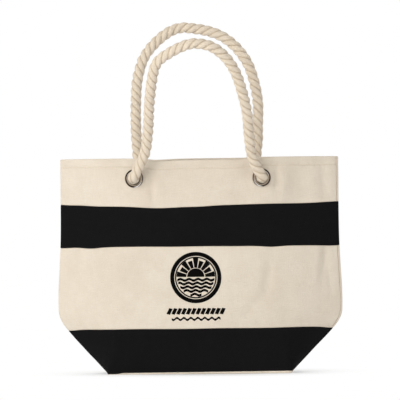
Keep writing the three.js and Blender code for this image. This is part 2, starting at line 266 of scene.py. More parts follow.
# %% [markdown]
# ## Cloth that has been handled
# A real bag is never the drawn shape. Its canvas holds soft dents beside the eyelets, long
# shallow folds down the sides, and pressed lines where it was folded flat in the shop. They
# are written as a relief: how far, in millimetres, the cloth stands in or out at each place.
# A cloth simulation would find other folds each time; writing them down keeps these ones.

# %% Relief of the canvas
# (x, height, half width, half length, lean in degrees, depth in mm) of each soft fold.
FRONT_FOLDS = [
    (-79, 310, 6, 20, 4, -2.4),
    (-67, 308, 9, 26, 4, 1.2),
    (-92, 344, 14, 9, -30, -1.6),
    (-72, 290, 16, 26, 28, -1.1),
    (-118, 296, 18, 22, -12, -0.8),
    (127, 318, 6, 17, -3, -2.2),
    (140, 306, 9, 28, -10, 1.3),
    (166, 312, 22, 40, -8, -2.6),
    (204, 318, 10, 30, 6, -1.8),
    (72, 292, 15, 24, -24, -1.0),
    (120, 290, 14, 20, 16, 0.7),
    (111, 152, 9, 34, -8, -1.5),
    (97, 158, 11, 38, -6, 0.8),
    (88, 112, 10, 24, -34, -1.0),
    (141, 120, 14, 22, 30, -0.9),
    (205, 186, 7, 40, -6, -1.6),
    (192, 182, 9, 44, -6, 0.9),
    (214, 150, 6, 26, 8, -0.9),
    (-196, 188, 8, 36, 8, -1.2),
    (-183, 176, 11, 40, 6, 0.7),
    (-150, 130, 16, 30, 26, -0.9),
    (-120, 180, 22, 34, -16, 0.8),
    (-96, 112, 14, 22, 34, -0.7),
    (0, 240, 60, 26, 0, 0.8),
    (60, 246, 20, 26, 20, -0.7),
    (-150, 246, 18, 24, -14, -0.7),
    (175, 244, 16, 28, 12, -0.8),
    (-30, 40, 70, 22, 0, -0.9),
    (96, 44, 24, 24, 18, 0.7),
]
BACK_FOLDS = [
    (-60, 300, 16, 30, 18, -1.3),
    (64, 304, 14, 28, -16, -1.2),
    (-128, 306, 12, 22, -8, -1.1),
    (132, 300, 13, 24, 8, -1.2),
    (-40, 160, 22, 44, 12, -1.6),
    (-12, 168, 18, 46, 10, 0.9),
    (70, 140, 16, 40, -14, -1.4),
    (-170, 190, 12, 46, 6, -1.3),
    (182, 176, 10, 42, -6, -1.3),
    (0, 246, 50, 24, 0, 0.9),
    (-90, 44, 30, 24, -16, -0.8),
    (60, 40, 40, 20, 8, 0.7),
]
FOLD_DEPTH = 1.6  # every fold's depth is multiplied by this
PRESSED_LINE_X = 147.0
PRESSED_LINE_WIDTH = 1.6
PRESSED_LINE_DEPTH = 0.45


def folds_at(x, z, folds):
    """The sum of the folds: each is a bell across its line times a bell along it."""
    total = np.zeros(np.broadcast(x, z).shape)
    for middle, height, wide, long, lean, depth in folds:
        angle = math.radians(lean)
        across = (x - middle) * math.cos(angle) + (z - height) * math.sin(angle)
        along = (z - height) * math.cos(angle) - (x - middle) * math.sin(angle)
        total += depth * bump(across, 0, wide) * bump(along, 0, long)
    return total


def relief(x, y, z):
    """Folds of that side and slow waves from crossed sines, calm near the side seams and the
    base, plus the line pressed into each lower corner."""
    front = y < 0
    folds = np.where(front, folds_at(x, z, FRONT_FOLDS), folds_at(x, z, BACK_FOLDS))
    waves = 0.45 * np.sin(x / 31 + 1.3) * np.sin(z / 47 + 0.4)
    waves += 0.30 * np.sin(x / 17 - z / 39 + 2.1) + 0.16 * np.sin(x / 9.5 + z / 13 + 0.6)
    waves += 0.10 * np.sin(x / 6.1 - z / 8.7 + 4.0)
    pressed = -PRESSED_LINE_DEPTH * bump(np.abs(x), PRESSED_LINE_X, PRESSED_LINE_WIDTH)
    pressed = pressed * ease((66 - z) / 14) * (np.abs(y) > 30)
    calm = ease((RIM_HALF_WIDTH - np.abs(x)) / 18)
    return (FOLD_DEPTH * folds + waves) * calm * ease(z / 16) + pressed


print("folds written down:", len(FRONT_FOLDS) + len(BACK_FOLDS))

# %% [markdown]
# ## Pinched at the eyelets
# An eyelet clamps the canvas flat between its flange and its washer. The surface is therefore
# pulled onto the eyelet's plane inside the flange, and let go over the next centimetre.

# %% Eyelet places and the finished skin
EYELET_X = {"left": -107.0, "right": 102.0}
EYELET_HEIGHT = 320.5
CANVAS_HOLE_RADIUS = 10.8
CLAMP_REACH = 26.0  # the cloth is free again this far from an eyelet's middle
CLAMP_FADE = 9.5
OWN_FACE = 12.0  # cloth further than this from an eyelet's plane is the other face's
SIDES = {"front": -1, "back": 1}
HANDS = {"left": -1, "right": 1}


def eyelet_place(side, x):
    """Centre on the wall, and the level outward direction there."""
    s = 2 / np.pi * np.arcsin(x / half_width(EYELET_HEIGHT))
    s = s if side < 0 else 2 - s
    return np.array([*wall(s, EYELET_HEIGHT), EYELET_HEIGHT]), level_out(s, EYELET_HEIGHT)


EYELETS = {
    (face, end): eyelet_place(side, x)
    for face, side in SIDES.items()
    for end, x in EYELET_X.items()
}


def from_eyelet(points, centre, outward):
    """How far points lie out of an eyelet's plane, and where they lie in it, from its middle."""
    off = (points - centre) @ outward
    return off, points - centre - off[..., None] * outward


def skin(s, z, lift=0.0):
    """The wall with its relief: wall(s, z) moved out by relief + lift along the level normal,
    then drawn onto each eyelet's plane where it is clamped."""
    s, z = np.broadcast_arrays(np.asarray(s, float), np.asarray(z, float))
    x, y = wall(s, z)
    depth = (relief(x, y, z) + lift)[..., None]
    points = np.stack([x, y, z], -1) + level_out(s, z) * depth
    lift = np.broadcast_to(lift, x.shape)
    for centre, outward in EYELETS.values():
        off, flat = from_eyelet(points, centre, outward)
        hold = ease((CLAMP_REACH - np.linalg.norm(flat, axis=-1)) / CLAMP_FADE)
        hold = hold * (np.abs(off) < OWN_FACE)
        points = points - (hold * (off - lift))[..., None] * outward
    return points


for (face, end), (centre, outward) in EYELETS.items():
    print(face, end, "eyelet at", centre.round(2), "mm, facing", outward.round(3))

# %% [markdown]
# ## Turning grids of points into meshes
# A surface worked out on a grid is already a mesh: each cell is a four-sided face. Three
# kinds of piece are enough for the bag: a cloth with two faces and closed edges, a skin lofted
# through rings with its ends capped, and a ring-shaped skin that closes both ways.

# %% Mesh helpers
MM = 0.001


def grid_faces(rows, columns, close_rows=False, close_columns=False):
    """Corner numbers of each cell, and the same numbers on a grid that isn't wrapped."""
    i, j = np.meshgrid(
        np.arange(rows - (not close_rows)), np.arange(columns - (not close_columns)), indexing="ij"
    )
    corners = [(i, j), (i, j + 1), (i + 1, j + 1), (i + 1, j)]
    index = np.stack([(a % rows) * columns + b % columns for a, b in corners], -1)
    wide = columns + close_columns
    flat = np.stack([a * wide + b for a, b in corners], -1)
    return index.reshape(-1, 4), flat.reshape(-1, 4)


def mesh_piece(name, points, quads, uv, corners_uv, caps=(), values=None):
    """A mesh object from points in mm. uv[corners_uv] is the UV of each face corner, caps are
    loops of point numbers, and values are floats kept on the points."""
    used, renumbered = np.unique(quads, return_inverse=True)
    quads = renumbered.reshape(quads.shape)
    back = np.zeros(len(points), int)
    back[used] = np.arange(len(used))
    caps = [back[cap] for cap in caps]
    mesh = bpy.data.meshes.new(name)
    mesh.vertices.add(len(used))
    mesh.vertices.foreach_set("co", (points[used] * MM).astype(np.float32).ravel())
    corners = np.concatenate([quads.ravel(), *caps]).astype(np.int32)
    sizes = np.concatenate([np.full(len(quads), 4), [len(cap) for cap in caps]]).astype(int)
    mesh.loops.add(len(corners))
    mesh.loops.foreach_set("vertex_index", corners)
    mesh.polygons.add(len(sizes))
    starts = np.concatenate([[0], np.cumsum(sizes)[:-1]]).astype(np.int32)
    mesh.polygons.foreach_set("loop_start", starts)
    mesh.update(calc_edges=True)
    corner_uv = np.zeros((len(corners), 2))
    corner_uv[: quads.size] = uv[corners_uv.ravel()] * MM
    mesh.uv_layers.new(name="cloth").data.foreach_set("uv", corner_uv.astype(np.float32).ravel())
    for key, value in (values or {}).items():
        attribute = mesh.attributes.new(key, "FLOAT", "POINT")
        attribute.data.foreach_set("value", np.asarray(value)[used].astype(np.float32))
    mesh.shade_smooth()
    made = bpy.data.objects.new(name, mesh)
    scene.collection.objects.link(made)
    return made


def shell_faces(faces, count):
    """The outer faces, the same ones turned over and count further on for the inner side, and a
    strip between the two along every edge that only one face has."""
    start, end = faces.ravel(), np.roll(faces, -1, axis=1).ravel()
    open_edge = ~np.isin(start * count + end, end * count + start)
    a, b = start[open_edge], end[open_edge]
    rim = np.stack([b, a, a + count, b + count], -1)
    return np.concatenate([faces, faces[:, ::-1] + count, rim])


def cloth_piece(name, outer, inner, uv, keep, edge):
    """A cloth: an outer and an inner grid of points, joined along every open edge. keep tells
    which cells are cloth, and edge is each point's distance from a sewn edge."""
    rows, columns = outer.shape[:2]
    count = rows * columns
    faces, _ = grid_faces(rows, columns)
    quads = shell_faces(faces[keep.ravel()], count)
    points = np.concatenate([outer.reshape(-1, 3), inner.reshape(-1, 3)])
    values = {"edge": np.tile(edge.ravel(), 2)}
    return mesh_piece(name, points, quads, uv.reshape(-1, 2), quads % count, values=values)


def loft_piece(name, rings, uv, values=None):
    """A closed skin through rings of points, capped at both ends. uv has one more column."""
    rows, columns = rings.shape[:2]
    faces, flat = grid_faces(rows, columns, close_columns=True)
    first, last = np.arange(columns)[::-1], np.arange(columns) + (rows - 1) * columns
    return mesh_piece(
        name, rings.reshape(-1, 3), faces, uv.reshape(-1, 2), flat, [first, last], values
    )


def ring_piece(name, rings, uv):
    """A skin that closes both ways, such as a lathed ring. uv has one more row and column."""
    faces, flat = grid_faces(*rings.shape[:2], close_rows=True, close_columns=True)
    return mesh_piece(name, rings.reshape(-1, 3), faces, uv.reshape(-1, 2), flat)


print("a grid of 3 by 4 points has", len(grid_faces(3, 4)[0]), "faces")

# %% [markdown]
# ## The rope handles
# Each handle is one length of 18 mm three-strand cotton rope: knotted inside, out through an
# eyelet, up and over, and back in. A bent cylinder with a bump map would lose the scalloped
# outline that makes rope look like rope, so the strands are real shape: at every station the
# section is three overlapping circles, and it turns a little from station to station.

# %% Rope line
ROPE_RADIUS = 9.0
PIVOT_STANDOFF = 17.0
KNOT_START = 5.6
PIVOT_FROM_MIDDLE = 56.8
LEAN = {"front": math.radians(24), "back": math.radians(12)}  # of each arch, out from upright
ARCH_EASING = 5.5
# (x, height above the eyelets) along each arch, from its left end to its right one.
FRONT_ROUTE = [
    (-109.5, 0), (-99, 18), (-88.5, 42.5), (-84.8, 66.5), (-82.6, 90.7), (-81.5, 114.7),
    (-79, 140.7), (-75.3, 166.7), (-70.3, 186.2), (-63.3, 195.2), (-53, 202.2), (-35.7, 212.2),
    (-13, 220.7), (2.6, 220.5), (21.1, 216.2), (39, 203.7), (51.8, 188.7),
    (62.2, 169.7), (69.6, 146.7), (75.7, 123.7), (79.7, 100.7), (81.2, 79.5), (83.3, 56.5),
    (86.5, 36), (94, 17.5), (104.4, 0),
]
BACK_ROUTE = [
    (-109.5, 0), (-104, 17), (-101.5, 34.5), (-102.2, 50.5), (-103.6, 68.5), (-104.2, 98.7),
    (-103.6, 127.7), (-102, 155.7), (-97, 178.7), (-89.7, 198.7), (-77.5, 215.5),
    (-61.8, 230.7), (-43.5, 242.7), (-25.8, 247.2), (-8.8, 245.5), (13.8, 241.7),
    (36.4, 233.7), (56, 220), (70, 204.7), (82, 185.7), (89.4, 165.2),
    (94.6, 144.2), (97.8, 119.7), (97.5, 96.7), (97, 78.5), (96.8, 59.5), (94, 41),
    (95.5, 19), (104.4, 0),
]


def unit(vectors):
    """The same directions, one long."""
    return vectors / np.linalg.norm(vectors, axis=-1, keepdims=True)


def spread_evenly(line, step):
    """The same line with its stations a step apart."""
    length = np.concatenate([[0], np.cumsum(np.linalg.norm(np.diff(line, axis=0), axis=1))])
    stations = np.linspace(0, length[-1], max(2, round(length[-1] / step) + 1))
    return np.stack([np.interp(stations, length, line[:, k]) for k in range(3)], -1)


def through(points, step=2.0):
    """Catmull-Rom curve: between p1 and p2 it is half of 2 p1 + (p2 - p0) t
    + (2 p0 - 5 p1 + 4 p2 - p3) t^2 + (3 p1 - p0 - 3 p2 + p3) t^3."""
    points = np.asarray(points, float)
    padded = np.vstack([2 * points[0] - points[1], points, 2 * points[-1] - points[-2]])
    p0, p1, p2, p3 = (padded[k : len(padded) - 3 + k, None] for k in range(4))
    t = np.linspace(0, 1, 24, endpoint=False)[None, :, None]
    curve = 2 * p1 + (p2 - p0) * t + (2 * p0 - 5 * p1 + 4 * p2 - p3) * t**2
    curve = (curve + (3 * p1 - p0 - 3 * p2 + p3) * t**3) / 2
    return spread_evenly(np.vstack([curve.reshape(-1, 3), points[-1:]]), step)


def relax(line, softness, step=0.5):
    """Corners eased as a stiff rope eases them: the line averaged under a bell of that width."""
    line = spread_evenly(line, step)
    reach = int(3 * softness / step)
    bell = np.exp(-0.5 * (np.arange(-reach, reach + 1) * step / softness) ** 2)
    lead = line[0] + (line[0] - line[1]) * np.arange(reach, 0, -1)[:, None]
    tail = line[-1] + (line[-1] - line[-2]) * np.arange(1, reach + 1)[:, None]
    padded = np.vstack([lead, line, tail])
    smooth = [np.convolve(padded[:, k], bell / bell.sum(), "valid") for k in range(3)]
    return np.stack(smooth, -1)


def handle_line(face, route):
    """The route in its leaning plane, with the straight stretch through each eyelet."""
    x, up = np.array(route, float).T
    y = SIDES[face] * (PIVOT_FROM_MIDDLE + up * math.tan(LEAN[face]))
    arch = through(np.stack([x, y, EYELET_HEIGHT + up], -1))
    stretch = np.linspace(-KNOT_START, PIVOT_STANDOFF - 2, 12)[:, None]
    (left, left_out), (right, right_out) = EYELETS[face, "left"], EYELETS[face, "right"]
    whole = np.vstack([left + left_out * stretch, arch, (right + right_out * stretch)[::-1]])
    return spread_evenly(relax(whole, ARCH_EASING), 1.0)


def length_of(line):
    """The sum of the steps from each station to the next."""
    return float(np.linalg.norm(np.diff(line, axis=0), axis=1).sum())


print("points chosen along the arches:", len(FRONT_ROUTE), "and", len(BACK_ROUTE))


# %% Laid rope
LAY_LENGTH = 40.0
STRAND_OFFSET = 0.34
STRAND_RADIUS = 0.66
FIRST_TURN = {"front": 0.6, "back": 2.0}
YARN_LAY = 21.0


def rope_rings(line, radius, facing, around=96, start_turn=0.0):
    """Rings of a three-strand rope. At angle p from the nearest strand's middle the radius is
    R (d cos p + sqrt(r^2 - d^2 sin^2 p)), the outline of three circles of radius r set d from
    the middle. The strands turn by 2 pi for each lay length, and yarns show on them as ten low
    ridges that run the other way."""
    tangent = unit(np.gradient(line, axis=0))
    across = unit(np.cross(facing, tangent))
    other = np.cross(tangent, across)
    along = np.concatenate([[0], np.cumsum(np.linalg.norm(np.diff(line, axis=0), axis=1))])
    phi = np.linspace(0, 2 * np.pi, around, endpoint=False)
    turn = phi[None] + 2 * np.pi * along[:, None] / LAY_LENGTH + start_turn
    p = (turn + np.pi / 3) % (2 * np.pi / 3) - np.pi / 3
    d, r = STRAND_OFFSET, STRAND_RADIUS
    outline = d * np.cos(p) + np.sqrt(r**2 - (d * np.sin(p)) ** 2)
    round_strand = np.arctan2(outline * np.sin(p), outline * np.cos(p) - d)
    yarns = 0.011 * np.cos(10 * round_strand - 2 * np.pi * along[:, None] / YARN_LAY)
    lumps = 0.010 * np.sin(along[:, None] / 5.3 + 2 * turn) + 0.008 * np.sin(along[:, None] / 13)
    size = np.broadcast_to(np.asarray(radius, float), along.shape)[:, None]
    reach = size * (outline + yarns + lumps)
    spokes = np.cos(phi)[None, :, None] * across[:, None] + np.sin(phi)[None, :, None] * other[:, None]
    # how far down the groove between the strands each point lies; the rope material paints shade with it
    groove = 1 - (outline - outline.min()) / (outline.max() - outline.min())
    full = np.append(turn, turn[:, :1] + 2 * np.pi, axis=1)
    uv = np.stack([np.broadcast_to(along[:, None], full.shape), full * ROPE_RADIUS], -1)
    return line[:, None] + spokes * reach[..., None], uv, groove


handles = {}
for face, route in (("front", FRONT_ROUTE), ("back", BACK_ROUTE)):
    line = handle_line(face, route)
    facing = np.array([0, SIDES[face] * math.cos(LEAN[face]), -math.sin(LEAN[face])])
    rings, uv, groove = rope_rings(line, ROPE_RADIUS, facing, start_turn=FIRST_TURN[face])
    piece = loft_piece(f"{face}_rope_handle", rings, uv, {"groove": groove.ravel()})
    handles[face] = (piece, line)
    print(face, "rope between its knots:", round(length_of(line)), "mm")

# %% [markdown]
# ## Stopper knots
# Inside the bag each rope end is tied in an overhand knot too big for the eyelet, with a short
# tail whipped with twine. An overhand knot is a trefoil that has been cut open: a point that
# goes twice round a ring while it winds three times round the ring's own middle line. The rope
# is drawn thinner in the knot, where it is pulled tight.

# %% Knots
KNOT_DEPTH = 16.5
KNOT_RING = 11.0
KNOT_WINDING = 5.4
KNOT_ROPE_RADIUS = 6.7
KNOT_EASING = 2.6
TAIL_ROPE_RADIUS = 8.5
TAIL_X = 6.0
TAIL_BEHIND = 19.0
TAIL_TOP = 16.0
TAIL_DROP = 66.0
TIP_ROUNDING = 3.2


def knot_line(face, end):
    """Trefoil ((R + r cos 3t) cos 2t, (R + r cos 3t) sin 2t, r sin 3t) for t from pi/3 to 2 pi,
    on the eyelet's axis, then straight down as the tail."""
    centre, outward = EYELETS[face, end]
    hand = HANDS[end]
    sideways = np.array([-outward[1], outward[0], 0]) * (1 if outward[1] < 0 else -1) * hand
    t = np.linspace(np.pi / 3, 2 * np.pi, 120)
    reach = KNOT_RING + KNOT_WINDING * np.cos(3 * t)
    local = np.stack([reach * np.cos(2 * t), -reach * np.sin(2 * t), -KNOT_WINDING * np.sin(3 * t)], -1)
    axes_of_knot = np.stack([sideways, [0, 0, 1], -outward])
    middle = centre - outward * KNOT_DEPTH
    knot = middle + local @ axes_of_knot
    entry = centre - outward * np.linspace(KNOT_START - 1.5, 8, 5)[:, None]
    drop = np.linspace(TAIL_TOP, TAIL_DROP, 12)[:, None]
    tail = centre - outward * TAIL_BEHIND + np.array([hand * TAIL_X, 0, 0]) - drop * [0, 0, 1]
    return spread_evenly(relax(np.vstack([entry, knot, tail]), KNOT_EASING), 1.0)


knots = {}
for face, end in EYELETS:
    line = knot_line(face, end)
    below = EYELET_HEIGHT - line[:, 2] - 24
    radius = KNOT_ROPE_RADIUS + (TAIL_ROPE_RADIUS - KNOT_ROPE_RADIUS) * ease(below / 12)
    to_tip = len(line) - 0.4 - np.arange(len(line))
    radius = radius * np.sqrt(np.clip(to_tip / TIP_ROUNDING, 0, 1))
    facing = np.array([0.3, 0.9 * SIDES[face], 0.31])
    rings, uv, groove = rope_rings(line, radius, unit(facing), around=60)
    knots[face, end] = (
        loft_piece(f"{face}_{end}_stopper_knot", rings, uv, {"groove": groove.ravel()}), line
    )
    span = np.ptp(rings.reshape(-1, 3), axis=0)
    print(face, end, "knot spans", span.round(), "mm")

# %% [markdown]
# ## Whippings
# A few turns of twine stop the tail from unlaying. The turns are one lathed sleeve whose
# outline is a row of half circles, one for each turn.

# %% Whippings
WHIPPING_LOW, WHIPPING_HIGH = 259.0, 273.0
TWINE = 1.25
SLEEVE_RADIUS = TAIL_ROPE_RADIUS + 0.35
SLEEVE_HOLE = 5.0
TWINE_RISE = 0.55
whippings = {}
for face, end in EYELETS:
    line = knots[face, end][1]
    at = line[np.abs(line[:, 2] - 0.5 * (WHIPPING_LOW + WHIPPING_HIGH)).argmin()]
    height = np.linspace(WHIPPING_LOW, WHIPPING_HIGH, 89)
    turns = np.abs(np.sin(np.pi * (height - WHIPPING_LOW) / TWINE)) ** 0.7
    profile = np.concatenate([
        np.stack([SLEEVE_RADIUS + TWINE_RISE * turns, height], -1),
        [[SLEEVE_HOLE, WHIPPING_HIGH], [SLEEVE_HOLE, WHIPPING_LOW]],
    ])
    angle = np.linspace(0, 2 * np.pi, 40, endpoint=False)
    r, h = profile[:, None, 0], profile[:, None, 1]
    slope = h + TWINE * (angle / (2 * np.pi) - 0.5) * (r > SLEEVE_HOLE)
    rings = np.stack([at[0] + r * np.cos(angle), at[1] + r * np.sin(angle), slope], -1)
    full = np.append(angle, 2 * np.pi)
    uv = np.stack(np.broadcast_arrays(full * 8, np.append(profile[:, 1], WHIPPING_LOW)[:, None]), -1)
    whippings[face, end] = ring_piece(f"{face}_{end}_twine_whipping", rings, uv)
print("twine turns on each tail:", round((WHIPPING_HIGH - WHIPPING_LOW) / TWINE))

# %% [markdown]
# ## Where the bands are joined
# The bands are cut straight, but sewing pulls them about: a join wanders by a few millimetres,
# the base's light edge hides under the dark stripe at one corner, and the rim droops a little
# between the rope's legs. Each join is a height as a function of place round the bag,
# and both bands that meet there use the same one.

# %% Heights of the joins
LOWER_STRIPE_TOP = 75.0
MIDDLE_TOP = 209.0
UPPER_STRIPE_TOP = 274.5
RIM = 352.5
HEM_DEPTH = 13.5


def base_join(s):
    """Nearly level, rising to the right, and tucked under at the front left corner."""
    x, y = wall(s, 4.0)
    tucked = ease((-x - 126) / 14) * ease((30 - y) / 50)
    return 3.3 + 0.006 * np.clip(x, -150, 150) - 1.6 * tucked


def lower_join(s):
    """Drawn down in a bell at each side seam, with a slight waver."""
    x, _ = wall(s, LOWER_STRIPE_TOP)
    return LOWER_STRIPE_TOP - 1.3 + 0.004 * x - 2.2 * bump(np.abs(x), 220, 20) + 0.25 * np.sin(x / 21)


def middle_join(s):
    """Drawn down in four bells, where the stripe's stitching has puckered."""
    x, _ = wall(s, MIDDLE_TOP)
    pulled = 2.0 * bump(x, -224, 20) + 2.6 * bump(x, -181, 20) + 2.0 * bump(x, 118, 20)
    pulled += 1.4 * bump(x, 215, 22)
    return MIDDLE_TOP - 0.5 - pulled + 0.22 * np.sin(x / 17 + 1)


def upper_join(s):
    """Sagging under the left rope leg, and rising at both side seams."""
    x, _ = wall(s, UPPER_STRIPE_TOP)
    sag = 3.4 * bump(x, -62, 52) + 1.8 * bump(x, 0, 28) - 1.5 * bump(x, -195, 26)
    rise = 1.4 + 0.010 * x + (2.4 - 0.004 * x) * (np.abs(x) / 225) ** 6
    return UPPER_STRIPE_TOP + rise - sag + 0.3 * np.sin(x / 19 + 2)


def rim_line(s):
    """Lower between the rope's legs, in front more than behind, with a dip by the left leg."""
    x, y = wall(s, RIM)
    between_legs = ease((92 - np.abs(x)) / 22) * np.where(y < 0, 2.9, 1.3)
    dip = 1.6 * bump(x, -74, 32)
    return RIM + 0.9 + 0.004 * x - between_legs - dip - 0.6 * bump(np.abs(x), 231, 5)


print("front rim droops", round(float(rim_line(0.9) - rim_line(0.0)), 1), "mm")

# %% [markdown]
# ## Canvas bands
# Each band is a cloth with two faces. Its edges roll inwards where they are sewn, which leaves
# the fine groove that tells one band from the next, and the seam allowance shows as a step on
# the inner face. The side seams don't lie on the silhouette: the back bands reach a few
# millimetres round the right side. A Solidify modifier could give the thickness, but not the
# rolled edges, the doubled hem or the allowances.

# %% Bands
CLOTH = 1.35
HEM_CLOTH = 2.7
ROLL_REACH = 1.2
ROLL_DEPTH = 1.1
ALLOWANCE = 9.5  # the seam allowance, turned up inside
ALLOWANCE_STEP = 0.9
THREAD_PULL = 0.62  # how deep the hem's stitching draws the cloth in
THREAD_PULL_REACH = 0.75
PUCKER_HEIGHT = 0.16
PUCKER_REACH = 4.5
PUCKER_PITCH = 9.3
SPANS = {"front": (-1.045, 0.895), "back": (0.895, 2.955)}
# Distances in mm from a join, and from the rim, at which there is a row of points.
EDGE_ROWS = np.array([0, 0.12, 0.35, 0.7, 1.2, 2.2, 3.6, 5.2, 7, 8.6, 9.6])
HEM_ROWS = np.array([2.2, 4.4, 6.8, 9, 11.4, 12.4, 13.0, 13.5, 13.9, 14.4, 15.1, 16.5])


def rolled(distance):
    """How far the face has rolled in at a distance from a sewn edge: a quarter circle."""
    left = 1 - np.clip(distance / ROLL_REACH, 0, 1)
    return ROLL_DEPTH * (1 - np.sqrt(1 - left**2))


def cut_eyelet_holes(middle, outer, inner):
    """Points inside a hole move straight out to its edge, and cells wholly inside one go."""
    cut = np.zeros(middle.shape[:2], bool)
    for centre, outward in EYELETS.values():
        off, flat = from_eyelet(middle, centre, outward)
        reach = np.linalg.norm(flat, axis=-1)
        inside = (reach < CANVAS_HOLE_RADIUS) & (np.abs(off) < OWN_FACE)
        way = flat / np.maximum(reach, 1e-6)[..., None] * (CANVAS_HOLE_RADIUS - reach)[..., None]
        outer = outer + way * inside[..., None]
        inner = inner + way * inside[..., None]
        cut |= inside
    return outer, inner, ~(cut[:-1, :-1] & cut[1:, :-1] & cut[:-1, 1:] & cut[1:, 1:])


def canvas_band(name, span, low, high, row_step=2.0, columns=300, hem=False):
    """Rows run from the lower join to the upper one, columns along the span of s. The outer
    face is skin(s, z, minus the rolled edge), the inner one is a cloth's thickness behind it,
    and a hemmed band ends in a half round fold and is drawn in along its stitching."""
    s = np.linspace(*span, columns)
    bottom, top = low(s), high(s)
    upper_rows = HEM_ROWS if hem else EDGE_ROWS
    gap = float(np.min(top - bottom)) - EDGE_ROWS[-1] - upper_rows[-1]
    share = np.linspace(0, 1, max(3, round(gap / row_step)))[1:-1, None]
    start, end = bottom + EDGE_ROWS[-1], top - upper_rows[-1]
    z = np.vstack([bottom + EDGE_ROWS[:, None], start + (end - start) * share,
                   top - upper_rows[::-1, None]])
    from_top = top - z
    round_out = np.zeros(z.shape)
    if hem:
        angle = np.radians([0, 25, 50, 70, 84])[:, None]
        half = HEM_CLOTH / 2
        z = np.vstack([z, top - half + half * np.sin(angle)])
        from_top = top - z
        round_out = np.vstack([round_out, np.tile(half * (1 - np.cos(angle)), columns)])
    x, y = wall(s, float(np.mean(z)))
    arc = np.concatenate([[0], np.cumsum(np.hypot(np.diff(x), np.diff(y)))])
    from_side = np.broadcast_to(np.minimum(arc, arc[-1] - arc), z.shape)
    from_join = z - bottom if hem else np.minimum(z - bottom, from_top)
    nearest = np.minimum(from_join, from_side)
    outer_lift = -rolled(nearest) - round_out
    inner_lift = -CLOTH - ALLOWANCE_STEP * ease((ALLOWANCE - from_join) / ALLOWANCE_STEP)
    if hem:
        folded = ease((HEM_DEPTH + 0.6 - from_top) / 0.8)
        pulled = THREAD_PULL * bump(from_top, HEM_DEPTH, THREAD_PULL_REACH)
        puckers = PUCKER_HEIGHT * bump(from_top, HEM_DEPTH, PUCKER_REACH)
        outer_lift = outer_lift - pulled + puckers * np.cos(2 * np.pi * arc / PUCKER_PITCH)
        inner_lift = inner_lift - (HEM_CLOTH - CLOTH) * folded + round_out + pulled
    outer, inner = skin(s, z, outer_lift), skin(s, z, inner_lift)
    outer, inner, keep = cut_eyelet_holes(skin(s, z), outer, inner)
    edge = np.minimum(nearest, np.abs(from_top - HEM_DEPTH) + 0.3 if hem else from_top)
    uv = np.stack([np.broadcast_to(arc, z.shape), z], -1)
    piece = cloth_piece(name, outer, inner, uv, keep, edge)
    print(name, len(piece.data.polygons), "faces,", round(arc[-1]), "mm between its seams")
    return piece


JOINS = [base_join, lower_join, middle_join, upper_join, rim_line]
PARTS = ["lower_stripe", "middle_panel", "upper_stripe", "top_panel"]
bands = {}
for face, span in SPANS.items():
    for part, low, high in zip(PARTS, JOINS, JOINS[1:]):
        name = f"{face}_{part.split('_')[0]}_canvas"
        bands[face, part] = canvas_band(name, span, low, high, hem=high is rim_line)

# %% [markdown]
# ## The base
# The base is a shallow tray of the same canvas, flat underneath, its edge turned up to meet the
# dark stripe. Its rings start in the middle underneath, spread to the edge, turn up and over,
# and come back to the middle inside, so it is one closed skin.

# %% Base
BASE_CLOTH = 1.4
BASE_DISH = 0.5
# (distance in from the wall, share of the edge's height) up the outside and down the inside.
TURN_UP_OUTSIDE = [(2.6, 0.0), (1.2, 0.08), (0.35, 0.3), (0.0, 0.6), (0.0, 0.75), (0.3, 0.9), (1.0, 1.0)]
TURN_UP_INSIDE = [(1.7, 1.0), (1.5, 0.85), (1.6, 0.6), (2.7, 0.42), (4.0, 0.38)]


def base_rings(columns=420):
    """Rings scaled out from the middle underneath, up, over and back to the middle inside."""
    s = np.linspace(-1, 3, columns, endpoint=False)
    edge = base_join(s) - 0.1
    rings = []
    for inset, share in TURN_UP_OUTSIDE + TURN_UP_INSIDE:
        z = edge * share if inset < 2.65 else np.maximum(edge * share, BASE_CLOTH)
        x, y = wall(s, z)
        out = level_out(s, z)
        rings.append(np.stack([x - out[:, 0] * inset, y - out[:, 1] * inset, z], -1))
    spread = [0.01, 0.25, 0.5, 0.75, 0.9, 0.97]
    flat = lambda ring, f, z: np.stack([ring[:, 0] * f, ring[:, 1] * f, np.full(columns, z)], -1)
    bottom = [flat(rings[0], f, BASE_DISH * (1 - f)) for f in spread]
    inside = [flat(rings[-1], f, BASE_CLOTH + BASE_DISH * (1 - f)) for f in spread[::-1]]
    return np.array(bottom + rings + inside)


rings = base_rings()
uv = np.concatenate([rings, rings[:, :1]], axis=1)[..., :2]
base = loft_piece("base_canvas", rings, uv, {"edge": np.full(rings.shape[:2], 20.0).ravel()})
print("base", np.ptp(rings.reshape(-1, 3), axis=0).round(), "mm")

# %% [markdown]
# ## Seam bindings
# The raw edges of each side seam are covered, inside, by a folded cotton tape. It is a long
# flattened ring carried up the seam, with a slight waver because tape never lies dead straight.

# %% Bindings
TAPE_LOW, TAPE_HIGH = 8.0, 341.5
TAPE_INSET = 11.6


def tape_waver(z, hand):
    """The tape's slight sway along the seam, which starts from nothing at its foot."""
    return 0.7 * np.sin(z / 21 + hand) * ease((z - TAPE_LOW) / 40)


def binding_rings(hand):
    """At each height a flattened ring: sign(cos) |cos|^0.45 wide and sign(sin) |sin|^0.7 deep."""
    z = np.arange(TAPE_LOW, TAPE_HIGH, 3.0)[:, None]
    angle = np.linspace(0, 2 * np.pi, 28, endpoint=False)
    c, q = np.cos(angle), np.sin(angle)
    x = 8.2 * np.sign(c) * np.abs(c) ** 0.45
    y = 1.25 * np.sign(q) * np.abs(q) ** 0.7
    middle = hand * (half_width(z) - TAPE_INSET)
    return np.stack(np.broadcast_arrays(middle + x, y + tape_waver(z, hand), z), -1), angle, z


